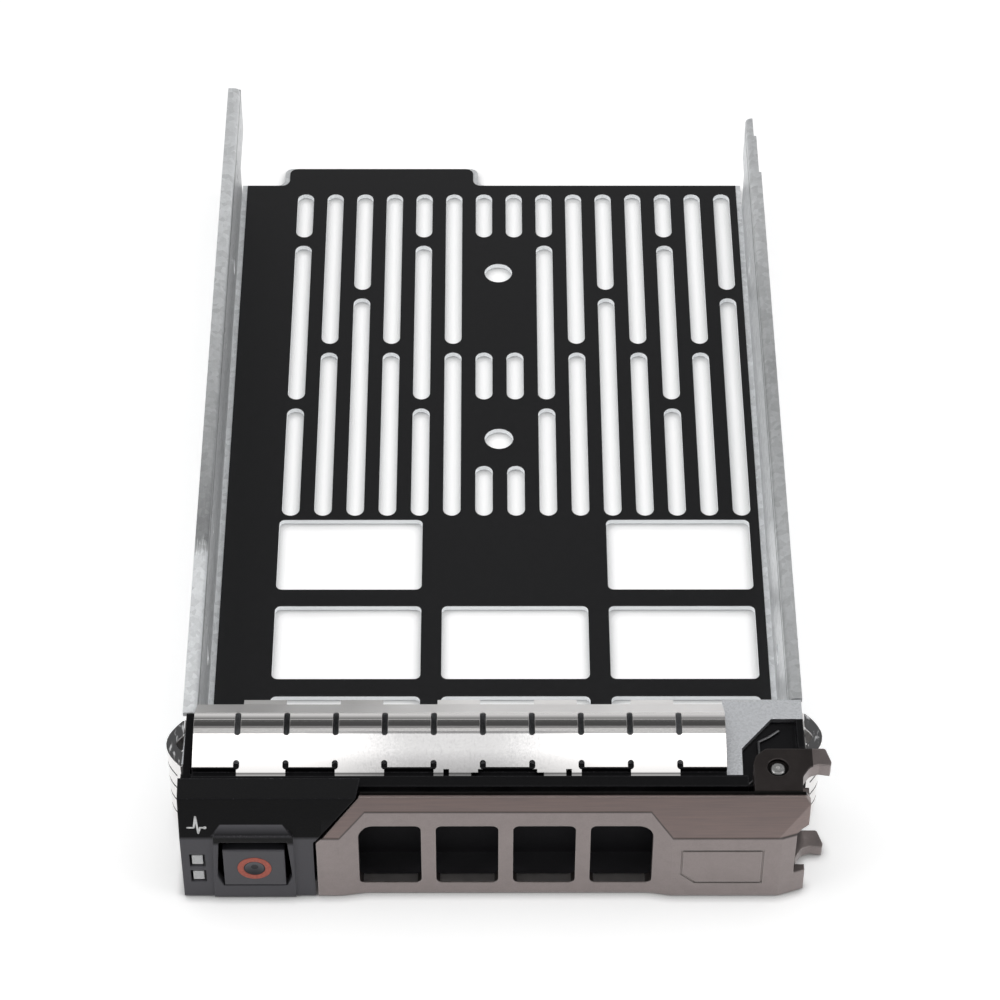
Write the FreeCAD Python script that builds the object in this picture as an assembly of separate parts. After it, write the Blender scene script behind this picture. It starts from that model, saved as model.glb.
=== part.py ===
import FreeCAD, Part
import math
import os

from FreeCAD import Vector, Matrix

# Hot swap drive caddy for one 3.5 inch drive.  Millimetres.
# Sizes are laid out from three datums: X = 0 on the rails' centre line,
# Y = 0 at the front of the handle, Z = 0 on the underside of the tray.
# At export every piece moves back along Y, so that the frame's origin lies
# midway between the drive screws on the underside.

# ---------------------------------------------------------------- the drive
drive_width = 101.6
drive_rear_y = 178.3            # connector face of a seated drive
screw_from_rear = 28.5          # rear side screw, from the connector face
screw_spacing = 101.6
screw_height = 6.35             # above the insulating film
screw_hole_r = 1.85
side_room = 0.3                 # between the drive and each rail

# ---------------------------------------------------------------- the tray
sheet = 1.0                     # galvanised steel
bend_r = 1.1                    # outside radius of a fold
rail_x = drive_width / 2 + side_room
rail_outer_x = rail_x + sheet
rail_top_z = 20.9
flange_width = 2.35             # from the rail's inner face
flange_x = rail_x + flange_width
floor_front_y = 9.9
floor_rear_y = 180.6
tab_left_x = -42.5              # rear tab of the floor
tab_right_x = -2.8
tab_reach = 5.1
tab_corner_r = 1.6
left_rail_front_y = 23.7
right_rail_front_y = 26.8
left_rail_rear_y = 190.0
left_flange_short = 2.0         # its flange ends this far ahead of the rail
right_rail_rear_y = 178.7
left_heel = 12.0                # the rail's rear, cut up from below
left_heel_z = 8.0
right_heel = 4.7
right_heel_z = 10.0
flange_steps = ((16.1, 0.45), (5.3, 0.95))      # right flange: from its rear, cut back by

# long ventilation slots: six cells a column, some cells joined
slot_columns = 15
slot_pitch_x = 6.07
slot_middle_x = 4.5
slot_width = 3.3
slot_rear_y = floor_rear_y - 2.7
slot_cells = 6
slot_cell_pitch = 15.36
slot_bridge = 2.3
slot_rows = {
    "A": ((0, 0), (1, 3), (4, 5)),
    "B": ((0, 2), (3, 5)),
    "C": ((0, 1), (2, 5)),
    "D": ((0, 0), (3, 3), (5, 5)),
}
slot_order = "ABCBABDDABCBABC"
plate_hole_r = 2.75
plate_hole_x = 1.3
plate_hole_steps = (69.7, 23.5)          # ahead of the slots' rear ends

# square windows ahead of the slots
window_width = 26.9
window_depth = 17.65
window_r = 1.1
window_pitch_x = 30.67
window_middle_x = 4.13
window_pitch_y = 21.6
window_gap = 0.94               # ahead of the slots' front ends
window_plan = ((1, 0, 1), (1, 1, 1), (1, 1, 1))

# ---------------------------------------------------------------- the film
film = 0.2
film_front_gap = 0.3             # behind the bezel's arms
film_side_gap = 1.0
film_end_gap = 0.2

# ---------------------------------------------------------------- across the front
pivot_inset = 3.05              # hinge axis inside the right rail's face
pivot_x = rail_x - pivot_inset
pivot_y = 8.6
arm_inset = 2.4
arm_inner_x = rail_x - arm_inset
left_arm_x = -(rail_outer_x + 0.6)
right_arm_x = rail_outer_x + 1.1
bezel_left_x = -(rail_outer_x + 0.9)
block_width = 22.5
block_right_x = bezel_left_x + block_width
handle_gap = 0.5
handle_left_x = block_right_x + handle_gap
handle_right_x = rail_outer_x + 1.2

# ---------------------------------------------------------------- the bezel
bezel_wall = 1.5
block_slant_z = 14.6            # above this the block's end leans over
block_slant = (7.2, 9.7)        # run and rise of the lean
face_y = 0.3                    # flat face of the block
crease_z = 16.1
brow_y = 1.9
brow_z = 24.6
bezel_top_z = 25.6
bezel_top_y = 5.5               # rear edge of the block's top
back_y = 8.4                    # front of the back wall
pocket_left_x = pivot_x - 6.15
foot_right_x = pivot_x - 4.85
foot_width = 6.8
foot_left_x = foot_right_x - foot_width
foot_height = 3.0
foot_rear_gap = 1.4             # the foot reaches this far behind the bracket's
beam_front_y = 5.0
beam_top_z = 24.0
beam_depth = 1.7
beam_right_x = foot_right_x - 0.2
groove_y = (7.25, 8.9)
groove_depth = 1.0
groove_end = 1.2                # solid beam past the groove
arm_rear_y = 23.3
right_arm_front_y = 15.6
arm_wall = 1.2
arm_top_z = 21.2
arm_rim = 1.3
shelf_z = 19.6
shelf = 1.8
bezel_screw_r = 1.0
bezel_screw_head_r = 1.7
bezel_screw_length = 4.0
bezel_screw_inset = 0.7         # left pair, from the rail's inner face
bezel_screws = ((bezel_screw_inset - rail_x, 13.0), (bezel_screw_inset - rail_x, 20.0),
                (foot_left_x + foot_width / 2, 13.2), (foot_left_x + foot_width / 2, 18.8))

# ---------------------------------------------------------------- the cross member
flange_rear_y = 24.8
corner_rear_y = right_rail_front_y - 0.3        # its bare right corner, level with the flange
corner_left_x = pivot_x - 8.45
corner_strip = 2.8
corner_notch = ((-5.6, 7.1), (-0.3, 13.6))      # from the hinge axis
foot_depth = 9.6
web_gap = 0.4                   # to the bezel's left arm and foot
web_left_x = web_gap - arm_inner_x
web_right_x = foot_left_x - web_gap
rivet_r = 1.5
rivet_head_r = 2.6
rivet_head = 0.8
rivet_count = 4
rivet_ends = (14.3, 5.0)        # first and last rivet, from the ends of the web
rivet_y = 15.6

# the raised frame round the release button
hood_y = 0.0
hood_left_x = bezel_left_x + 5.2
hood_width = 14.0
hood_right_x = hood_left_x + hood_width
hood_shoulder_z = 16.5
hood_top_z = 18.9
hood_top_inset = 1.6
hood_taper = 0.5                # of its left side, up to the shoulder
opening_side_gap = 1.15         # wide dark gap each side of the button
opening_top_gap = 2.3
opening_top_inset = 0.6

# ---------------------------------------------------------------- the handle
handle_top_z = 24.7
handle_crease_z = 16.0
handle_lean = 2.1               # how far the top edge leans back
handle_wall = 3.0
handle_lip = 1.2
handle_step = 0.25              # the leaning part stands proud of the flat part
handle_corner = (0.85, 1.5)
recess_ends = (8.3, 26.7)       # from the handle's left and right end
recess_left_x = handle_left_x + recess_ends[0]
recess_right_x = handle_right_x - recess_ends[1]
recess_bottom = 0.9
recess_top = 1.65
recess_top_z = 21.5
recess_ramp_left = 4.4
recess_ramp_right = 3.8
bevel_width = 5.1
bevel_depth = 1.73
end_notch = ((0, 18.3), (-1.1, 17.0), (-1.9, 16.0), (-2.0, 5.1), (0, 5.1))
port_width = 10.6
port_pitch = 13.11
port_first_x = handle_left_x + 12.45
port_low_z = 2.6
port_high_z = 17.6
port_r = 1.1
port_big_r = 2.6
pad_width = 14.1
pad_end = 7.3                   # from the handle's right end
pad_x = (handle_right_x - pad_end - pad_width, handle_right_x - pad_end)
pad_z = (3.4, 12.5)
pad_corner = 2.4
pad_line = 0.35
pad_depth = 0.25

pin_r = 1.3
pin_gap = 0.05                  # running clearance on the ears
pin_press_gap = 0.01
pin_low_z = 0.2
pin_high_z = 24.3
ear = 2.7
lower_ear = 2.0
ear_top_z = 24.5
ear_left = 4.1                  # from the pivot axis
ear_rear = 4.1
ear_counterbore_r = 1.8
ear_counterbore = 0.5
claw_reach = 9.1
claw_tip_y = 1.1
claw_nose = 0.9
claw_throat = ((8.85, 0.3), (6.9, 0.6), (5.4, 0.1), (4.15, -1.85), (3.95, -4.2))
side_wall = 1.4
side_wall_rear_y = 6.4
rib = 1.5
rib_rear_y = 5.2
boss_r = 3.0
boss_neck_r = 2.05
ear_gap = 0.3                   # between each ear and the bezel

# ---------------------------------------------------------------- the latch
button_left_x = bezel_left_x + 7.1
button_width = 10.5
button_x = (button_left_x, button_left_x + button_width)
button_z = (3.3, 12.8)
button_cap = 1.6
button_travel = 1.6
button_lug = 0.9
button_lug_height = 2.6
stop_gap = 0.15
ring_r = 2.9
ring_inner_r = 1.85
ring_depth = 0.5
ring_centre_z = 8.0
dimple = 0.35
wedge_depth = 1.6               # button and slider meet on a 45 degree face
wedge_gap = 0.15
shank_width = 2.8
shank_x = (button_left_x + 3.7, button_left_x + 3.7 + shank_width)
shank_z = (5.5, 11.5)
shank_root = 2.0
slider_left_x = button_left_x + 0.3
slider_bar = 2.5
slider_gap = 0.3
slider_arm = 1.6
nose = 1.4
nose_gap = 0.3                  # nose to catch, so that either can move alone
catch_x = handle_left_x + 1.0
catch_hook = 1.6
catch_stem = 1.4
catch_z = (6.4, 10.6)
catch_rear_y = 7.9
catch_hook_depth = 1.3
spring_bore_r = 1.8
spring_bore = 3.0
latch_wire = 0.4
latch_coil_r = 1.25
latch_turns = 6.0
latch_end_gap = 0.3

# ---------------------------------------------------------------- handle spring
torsion_wire = 0.5
torsion_coil_r = 2.6
torsion_turns = 1.87
torsion_pitch = 0.58
torsion_seat_gap = 0.1
torsion_tip_gap = 0.15
torsion_leg = 9.2               # from the pivot back to the hooked end
torsion_hook = ((1.7, 1.0), (3.6, 2.5))
runs_a_turn = 12                # straight runs in one turn of a spring

# ---------------------------------------------------------------- light pipes
pipe_width = 1.85
pipe_left_x = bezel_left_x + 1.8
pipe_face_y = 0.45
pipe_window_margin = 0.35
pipe_rib = 1.0                  # of the bezel, between the pipes and its room
pipe_clearance = 0.15
pipe_low = {"light_pipe_upper": (8.6, 2.4), "light_pipe_lower": (4.4, 2.25)}
pipe_run_low = {"light_pipe_upper": 15.6, "light_pipe_lower": 11.7}
pipe_run_height = 2.1
pipe_run = 1.1                  # thickness outside the rail
pipe_wall_gap = 0.1
pipe_jog_y = (24.2, 30.0)
pipe_rise_y = (31.5, 43.0)
pipe_rear_y = left_rail_rear_y - 2.8
stake_r = 0.75
stake_gap = 0.05
stake_count = 6
stake_first_y = 50.0
stake_last_y = pipe_rear_y - 17.2

# ---------------------------------------------------------------- shields
shield = 0.2                    # stainless spring sheet
shield_left_x = bezel_left_x + 2.1
shield_right_x = corner_left_x - 0.1
shield_front = (8.95, 24.15)
shield_shoulder = (15.2, 25.45)
shield_crown = (17.4, 25.7)
shield_knee = (19.9, 25.35)
shield_odd_edge = (24.7, 21.7)
shield_even_knee = (25.1, 21.4)
shield_even_edge = (26.2, 21.1)
shield_tongue = (groove_y[0] + 0.15, 23.45)
crown_runs = 5                  # flats of the rolled crown
hook_tongues = {4: 1, 6: -1}    # slit to the left of a hooked tongue; side of its hook
hook_gap = (1.67, 2.6)          # from the tongue's outer edge
hook_tab = (6.35, 7.5)
hook_tab_short = 0.65
slit_count = 10
slit_pitch = 8.33
slit_first_x = shield_left_x + 7.5
slit = 1.0
slit_y = (14.9, 19.9)
front_notch = (-0.35, 1.3)      # from the fold of the tongues
side_leaf_bow = 2.6
side_leaf_length = 10.0
left_leaf_front_y = 12.0
right_leaf_front_y = 13.5
leaf_low_z = 2.7
leaf_high_z = 20.9
leaf_fingers = 5
leaf_slit = 0.5

# ---------------------------------------------------------------- worked out
screw_rear_y = drive_rear_y - screw_from_rear
screw_front_y = screw_rear_y - screw_spacing
screw_z = sheet + film + screw_height
origin_y = (screw_front_y + screw_rear_y) / 2
floor_z = sheet
film_z = sheet + film
room_left_x = pipe_left_x + pipe_width + pipe_window_margin + pipe_rib


# ---------------------------------------------------------------- tools
def block(x0, x1, y0, y1, z0, z1):
    """A box between two corners."""
    return Part.makeBox(x1 - x0, y1 - y0, z1 - z0, Vector(x0, y0, z0))


def prism_xy(points, z0, z1):
    """Plan outline, raised from z0 to z1."""
    outline = Part.makePolygon([Vector(x, y, z0) for x, y in points] + [Vector(*points[0], z0)])
    return Part.Face(outline).extrude(Vector(0, 0, z1 - z0))


def prism_yz(points, x0, x1):
    """Side outline, drawn out from x0 to x1."""
    places = [Vector(x0, y, z) for y, z in points]
    return Part.Face(Part.makePolygon(places + places[:1])).extrude(Vector(x1 - x0, 0, 0))


def prism_xz(points, y0, y1):
    """Front outline, drawn back from y0 to y1."""
    places = [Vector(x, y0, z) for x, z in points]
    return Part.Face(Part.makePolygon(places + places[:1])).extrude(Vector(0, y1 - y0, 0))


def rod(x, y, z0, z1, r):
    """Upright round bar."""
    return Part.makeCylinder(r, z1 - z0, Vector(x, y, z0))


def cross_rod(x0, x1, y, z, r):
    """Round bar along X."""
    return Part.makeCylinder(r, x1 - x0, Vector(x0, y, z), Vector(1, 0, 0))


def round_upright(solid, places, r):
    """Round the upright edges that stand at the given plan places."""
    chosen = []
    for edge in solid.Edges:
        a, b = edge.Vertexes[0].Point, edge.Vertexes[-1].Point
        upright = abs(a.x - b.x) < 1e-6 and abs(a.y - b.y) < 1e-6 and abs(a.z - b.z) > 1e-6
        if upright and any(abs(a.x - x) < 1e-4 and abs(a.y - y) < 1e-4 for x, y in places):
            chosen.append(edge)
    return solid.makeFillet(r, chosen)


def joined(solids):
    """One solid from solids that meet."""
    whole = solids[0].multiFuse(solids[1:]) if len(solids) > 1 else solids[0]
    return whole.removeSplitter()


def group(solids):
    """Separate solids kept together in one node."""
    return Part.makeCompound(solids)


def sheet_outline(centre, thickness):
    """Closed outline of a bent sheet whose centre line is given, in two coordinates."""
    near, far = [], []
    for i, (u, v) in enumerate(centre):
        before = centre[max(i - 1, 0)]
        after = centre[min(i + 1, len(centre) - 1)]
        du1, dv1 = u - before[0], v - before[1]
        du2, dv2 = after[0] - u, after[1] - v
        n1 = math.hypot(du1, dv1) or 1.0
        n2 = math.hypot(du2, dv2) or 1.0
        nu = -(dv1 / n1 + dv2 / n2)
        nv = du1 / n1 + du2 / n2
        size = math.hypot(nu, nv)
        nu, nv = nu / size, nv / size
        cosine = (nu * -dv2 + nv * du2) / n2 if i < len(centre) - 1 else (nu * -dv1 + nv * du1) / n1
        reach = thickness / 2 / cosine
        near.append((u + nu * reach, v + nv * reach))
        far.append((u - nu * reach, v - nv * reach))
    return near + far[::-1]


def rounded_window(x0, x1, y0, y1, z0, z1, r):
    """Upright cutter with four round corners."""
    corners = ((x0, y0), (x1, y0), (x1, y1), (x0, y1))
    return round_upright(block(x0, x1, y0, y1, z0, z1), corners, r)


def slot_cutter(x, y0, y1, width, z0, z1):
    """Upright cutter with full round ends, long way along Y."""
    r = width / 2
    return block(x - r, x + r, y0 + r, y1 - r, z0, z1).fuse(
        [rod(x, y0 + r, z0, z1, r), rod(x, y1 - r, z0, z1, r)]).removeSplitter()


def winding(base, radius, turns, pitch, along, start, start_angle=0.0):
    """Places along a coil that is wound in short straight runs."""
    side = along.cross(start)
    runs = math.ceil(turns * runs_a_turn)
    places = []
    for i in range(runs + 1):
        turn = turns * i / runs
        angle = math.radians(start_angle) + 2 * math.pi * turn
        out = start * math.cos(angle) + side * math.sin(angle)
        places.append(base + out * radius + along * (pitch * turn))
    return places


def wire_through(places, r):
    """Wire of eight flats led through places, mitred at every bend."""
    run = places[1] - places[0]
    across = run.cross(Vector(0, 0, 1) if abs(run.z) < abs(run.x) + abs(run.y) else Vector(1, 0, 0))
    across.normalize()
    up = run.cross(across).normalize()
    ring = []
    for i in range(8):
        angle = math.radians(45 * i + 22.5)
        ring.append(places[0] + across * (r * math.cos(angle)) + up * (r * math.sin(angle)))
    profile = Part.makePolygon(ring + ring[:1])
    return Part.makePolygon(places).makePipeShell([profile], True, False, 1)


# ---------------------------------------------------------------- floor openings
def floor_cutters(z0, z1):
    """Slots, windows and round holes shared by the floor and the film."""
    cutters = []
    slots_front = slot_rear_y - slot_cells * slot_cell_pitch + slot_bridge
    for column, kind in enumerate(slot_order):
        x = slot_middle_x + (column - slot_columns // 2) * slot_pitch_x
        for first, last in slot_rows[kind]:
            rear = slot_rear_y - first * slot_cell_pitch
            front = slot_rear_y - (last + 1) * slot_cell_pitch + slot_bridge
            cutters.append(slot_cutter(x, front, rear, slot_width, z0, z1))
    for row, cells in enumerate(window_plan):
        rear = slots_front - window_gap - row * window_pitch_y
        for cell, present in enumerate(cells):
            if present:
                x = window_middle_x + (cell - 1) * window_pitch_x
                cutters.append(rounded_window(x - window_width / 2, x + window_width / 2,
                                              rear - window_depth, rear, z0, z1, window_r))
    for ahead in plate_hole_steps:
        cutters.append(rod(plate_hole_x, slot_rear_y - ahead, z0, z1, plate_hole_r))
    return cutters


def plate_outline(half_width, front, end_gap, side_gap):
    """Plan of the floor or the film with the tab at its rear."""
    rear = floor_rear_y - end_gap
    left, right = tab_left_x + side_gap, tab_right_x - side_gap
    tip = floor_rear_y + tab_reach - end_gap
    return [(-half_width, front), (half_width, front), (half_width, rear), (right, rear),
            (right, tip), (left, tip), (left, rear), (-half_width, rear)]


# ---------------------------------------------------------------- tray
def make_tray():
    """Floor, rails and out-turned flanges folded from one sheet."""
    reach = flange_x
    section = [(-rail_outer_x, 0), (rail_outer_x, 0), (rail_outer_x, rail_top_z - sheet),
               (reach, rail_top_z - sheet), (reach, rail_top_z), (rail_x, rail_top_z),
               (rail_x, floor_z), (-rail_x, floor_z), (-rail_x, rail_top_z),
               (-reach, rail_top_z), (-reach, rail_top_z - sheet),
               (-rail_outer_x, rail_top_z - sheet)]
    rear = max(left_rail_rear_y, right_rail_rear_y, floor_rear_y + tab_reach)
    tray = prism_xz(section, floor_front_y, rear)
    folds = []
    for edge in tray.Edges:
        a, b = edge.Vertexes[0].Point, edge.Vertexes[-1].Point
        if abs(a.y - b.y) < 1:
            continue
        at_foot = abs(abs(a.x) - rail_outer_x) < 1e-6 and abs(a.z) < 1e-6
        at_head = abs(abs(a.x) - rail_x) < 1e-6 and abs(a.z - rail_top_z) < 1e-6
        if at_foot or at_head:
            folds.append(edge)
    tray = tray.makeFillet(bend_r, folds)

    low, high, far = -1.0, rail_top_z + 1, reach + 5
    rear += 1
    cuts = [
        block(-far, -rail_x, 0, left_rail_front_y, floor_z, high),
        block(-far, -rail_outer_x, 0, left_rail_front_y, low, high),
        block(rail_x, far, 0, right_rail_front_y, low, high),
        block(foot_right_x + 0.1, far, 0, pivot_y + claw_swing() + 0.8, low, floor_z + 1),
        block(rail_x, far, right_rail_rear_y, rear, low, high),
        block(-far, -rail_x, left_rail_rear_y, rear, low, high),
        block(-far, -rail_x, left_rail_rear_y - left_flange_short, rear,
              rail_top_z - sheet - bend_r, high),
    ]
    heels = ((-1, left_rail_rear_y - left_heel, left_heel_z),
             (1, right_rail_rear_y - right_heel, right_heel_z))
    for side, heel_y, heel_z in heels:
        corner = block(rail_x, far, heel_y, rear, low, heel_z)
        corner = corner if side > 0 else corner.mirror(Vector(), Vector(1, 0, 0))
        cuts.append(corner)
    for ahead, back in flange_steps:
        cuts.append(block(reach - back, far, right_rail_rear_y - ahead, right_rail_rear_y + 1,
                          rail_top_z - sheet - 0.5, high))
    behind = [(-rail_x, rear), (-rail_x, floor_rear_y), (tab_left_x, floor_rear_y),
              (tab_left_x, floor_rear_y + tab_reach), (tab_right_x, floor_rear_y + tab_reach),
              (tab_right_x, floor_rear_y), (rail_x, floor_rear_y), (rail_x, rear)]
    waste = prism_xy(behind, low, floor_z + 1)
    corners = [(x, y) for x in (tab_left_x, tab_right_x)
               for y in (floor_rear_y, floor_rear_y + tab_reach)]
    cuts.append(round_upright(waste, corners, tab_corner_r))
    cuts.extend(floor_cutters(low, floor_z + 0.5))
    for y in (screw_front_y, screw_rear_y):
        cuts.append(cross_rod(-far, far, y, screw_z, screw_hole_r))
    for y in stake_places():
        for node in pipe_low:
            z = pipe_run_low[node] + pipe_run_height / 2
            cuts.append(cross_rod(-far, 0, y, z, stake_r + stake_gap))
    pipe_top = pipe_low["light_pipe_upper"][0] + pipe_low["light_pipe_upper"][1]
    pipe_base = pipe_low["light_pipe_lower"][0]
    cuts.append(block(-far, -rail_x + 1e-3, 0, pipe_jog_y[1] + 1.5, pipe_base - 0.6, pipe_top + 0.6))
    cuts.extend(screw_holes(bezel_screw_r + 0.15, head=True))
    cuts.extend(rod(x, rivet_y, low, floor_z + 1, rivet_r) for x in rivet_places())
    return tray.cut(Part.makeCompound(cuts))


def claw_swing():
    """Largest radius that the ears and claws sweep about the pivot."""
    return math.hypot(claw_reach - claw_nose, ear_rear)


def stake_places():
    """Where the light pipes are staked to the rail."""
    step = (stake_last_y - stake_first_y) / (stake_count - 1)
    return [stake_first_y + i * step for i in range(stake_count)]


def screw_holes(r, head):
    """Cutters for the bezel's screws, with the countersink when asked."""
    cutters = []
    for x, y in bezel_screws:
        cutters.append(rod(x, y, -1, bezel_screw_length + 0.3, r))
        if head:
            cone = Part.makeCone(bezel_screw_head_r + 0.1, r, floor_z, Vector(x, y, 0))
            cutters.append(cone)
    return cutters


# ---------------------------------------------------------------- film
def make_film():
    """Black insulating sheet stuck to the floor."""
    half = rail_x - film_side_gap
    front = arm_rear_y + film_front_gap
    sheet_solid = prism_xy(plate_outline(half, front, film_end_gap, film_side_gap),
                           floor_z, film_z)
    left, right = tab_left_x + film_side_gap, tab_right_x - film_side_gap
    corners = [(x, y - film_end_gap) for x in (left, right)
               for y in (floor_rear_y, floor_rear_y + tab_reach)]
    sheet_solid = round_upright(sheet_solid, corners, tab_corner_r)
    return sheet_solid.cut(Part.makeCompound(floor_cutters(floor_z - 1, film_z + 1)))


# ---------------------------------------------------------------- cross member
def make_cross_member():
    """Z bracket across the front with a bare corner plate at the right."""
    top, under = rail_top_z, rail_top_z - sheet
    web_front = floor_front_y
    section = [(web_front, floor_z), (web_front + foot_depth, floor_z),
               (web_front + foot_depth, floor_z + sheet), (web_front + sheet, floor_z + sheet),
               (web_front + sheet, under), (flange_rear_y, under), (flange_rear_y, top),
               (web_front, top)]
    bar = prism_yz(section, web_left_x, web_right_x)
    folds = []
    for edge in bar.Edges:
        a, b = edge.Vertexes[0].Point, edge.Vertexes[-1].Point
        along_x = abs(a.x - b.x) > 1
        if along_x and abs(a.y - web_front) < 1e-6 and (a.z < floor_z + 1e-6 or a.z > top - 1e-6):
            folds.append(edge)
    bar = bar.makeFillet(bend_r, folds)
    flat = block(-rail_x + 0.1, corner_left_x, web_front + bend_r, flange_rear_y, under, top)
    edge_x = right_arm_x
    inner, outer = corner_notch_places()
    corner = [(web_right_x, web_front), (corner_left_x + corner_strip, web_front), inner, outer,
              (edge_x, outer[1]), (edge_x, corner_rear_y),
              (corner_left_x, corner_rear_y), (corner_left_x, flange_rear_y),
              (web_right_x, flange_rear_y)]
    plate = prism_xy(corner, under, top)
    rivets = [rod(x, rivet_y, 0, floor_z + sheet + 1, rivet_r) for x in rivet_places()]
    return joined([bar, flat, plate]).cut(Part.makeCompound(rivets))


def corner_notch_places():
    """Inner and outer end of the bare corner's slanted edge."""
    return [(pivot_x + dx, pivot_y + dy) for dx, dy in corner_notch]


def rivet_places():
    """X of each rivet along the bracket's foot."""
    first, last = web_left_x + rivet_ends[0], web_right_x - rivet_ends[1]
    return [first + i * (last - first) / (rivet_count - 1) for i in range(rivet_count)]


def make_rivets():
    """Rivets that hold the bracket's foot to the floor, each turned in one piece."""
    top = floor_z + sheet
    rivets = []
    for x in rivet_places():
        side = [(0, 0.05), (rivet_r, 0.05), (rivet_r, top), (rivet_head_r, top),
                (rivet_head_r * 0.8, top + rivet_head * 0.65), (0, top + rivet_head)]
        places = [Vector(x + r, rivet_y, z) for r, z in side]
        face = Part.Face(Part.makePolygon(places + places[:1]))
        rivets.append(face.revolve(Vector(x, rivet_y, 0), Vector(0, 0, 1), 360))
    return group(rivets)


# ---------------------------------------------------------------- bezel
def block_profile(face, inset=0.0):
    """Side outline of the block at the left, from the bottom up."""
    return [(face + inset, inset), (face + inset, crease_z), (brow_y + inset, brow_z - inset),
            (bezel_top_y, bezel_top_z - inset), (bezel_top_y, beam_top_z - inset),
            (floor_front_y, beam_top_z - inset), (floor_front_y, inset)]


def block_front(inset=0.0):
    """Front outline of the block, leaning over at its right end."""
    run, rise = block_slant
    over = (bezel_top_z - block_slant_z) / rise * run
    return [(bezel_left_x + inset, inset), (block_right_x - inset, inset),
            (block_right_x - inset, block_slant_z),
            (block_right_x + over - inset, bezel_top_z), (bezel_left_x + inset, bezel_top_z)]


def hood_outline():
    """Front outline of the raised frame round the button."""
    return [(hood_left_x, 0), (hood_right_x, 0), (hood_right_x, hood_shoulder_z),
            (hood_right_x - hood_top_inset, hood_top_z),
            (hood_left_x + hood_top_inset, hood_top_z),
            (hood_left_x + hood_taper, hood_shoulder_z)]


def opening_outline():
    """Front outline of the hole that the button stands in."""
    x0, x1 = button_x[0] - opening_side_gap, button_x[1] + opening_side_gap
    z0, z1 = button_z[0] - 0.2, button_z[1] + opening_top_gap
    step = opening_side_gap - 0.2
    return [(x0 + step, z0), (x1 - step, z0), (x1, z0 + 2.6), (x1 - opening_top_inset, z1),
            (x0 + opening_top_inset, z1), (x0, z0 + 2.6)]


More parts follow.
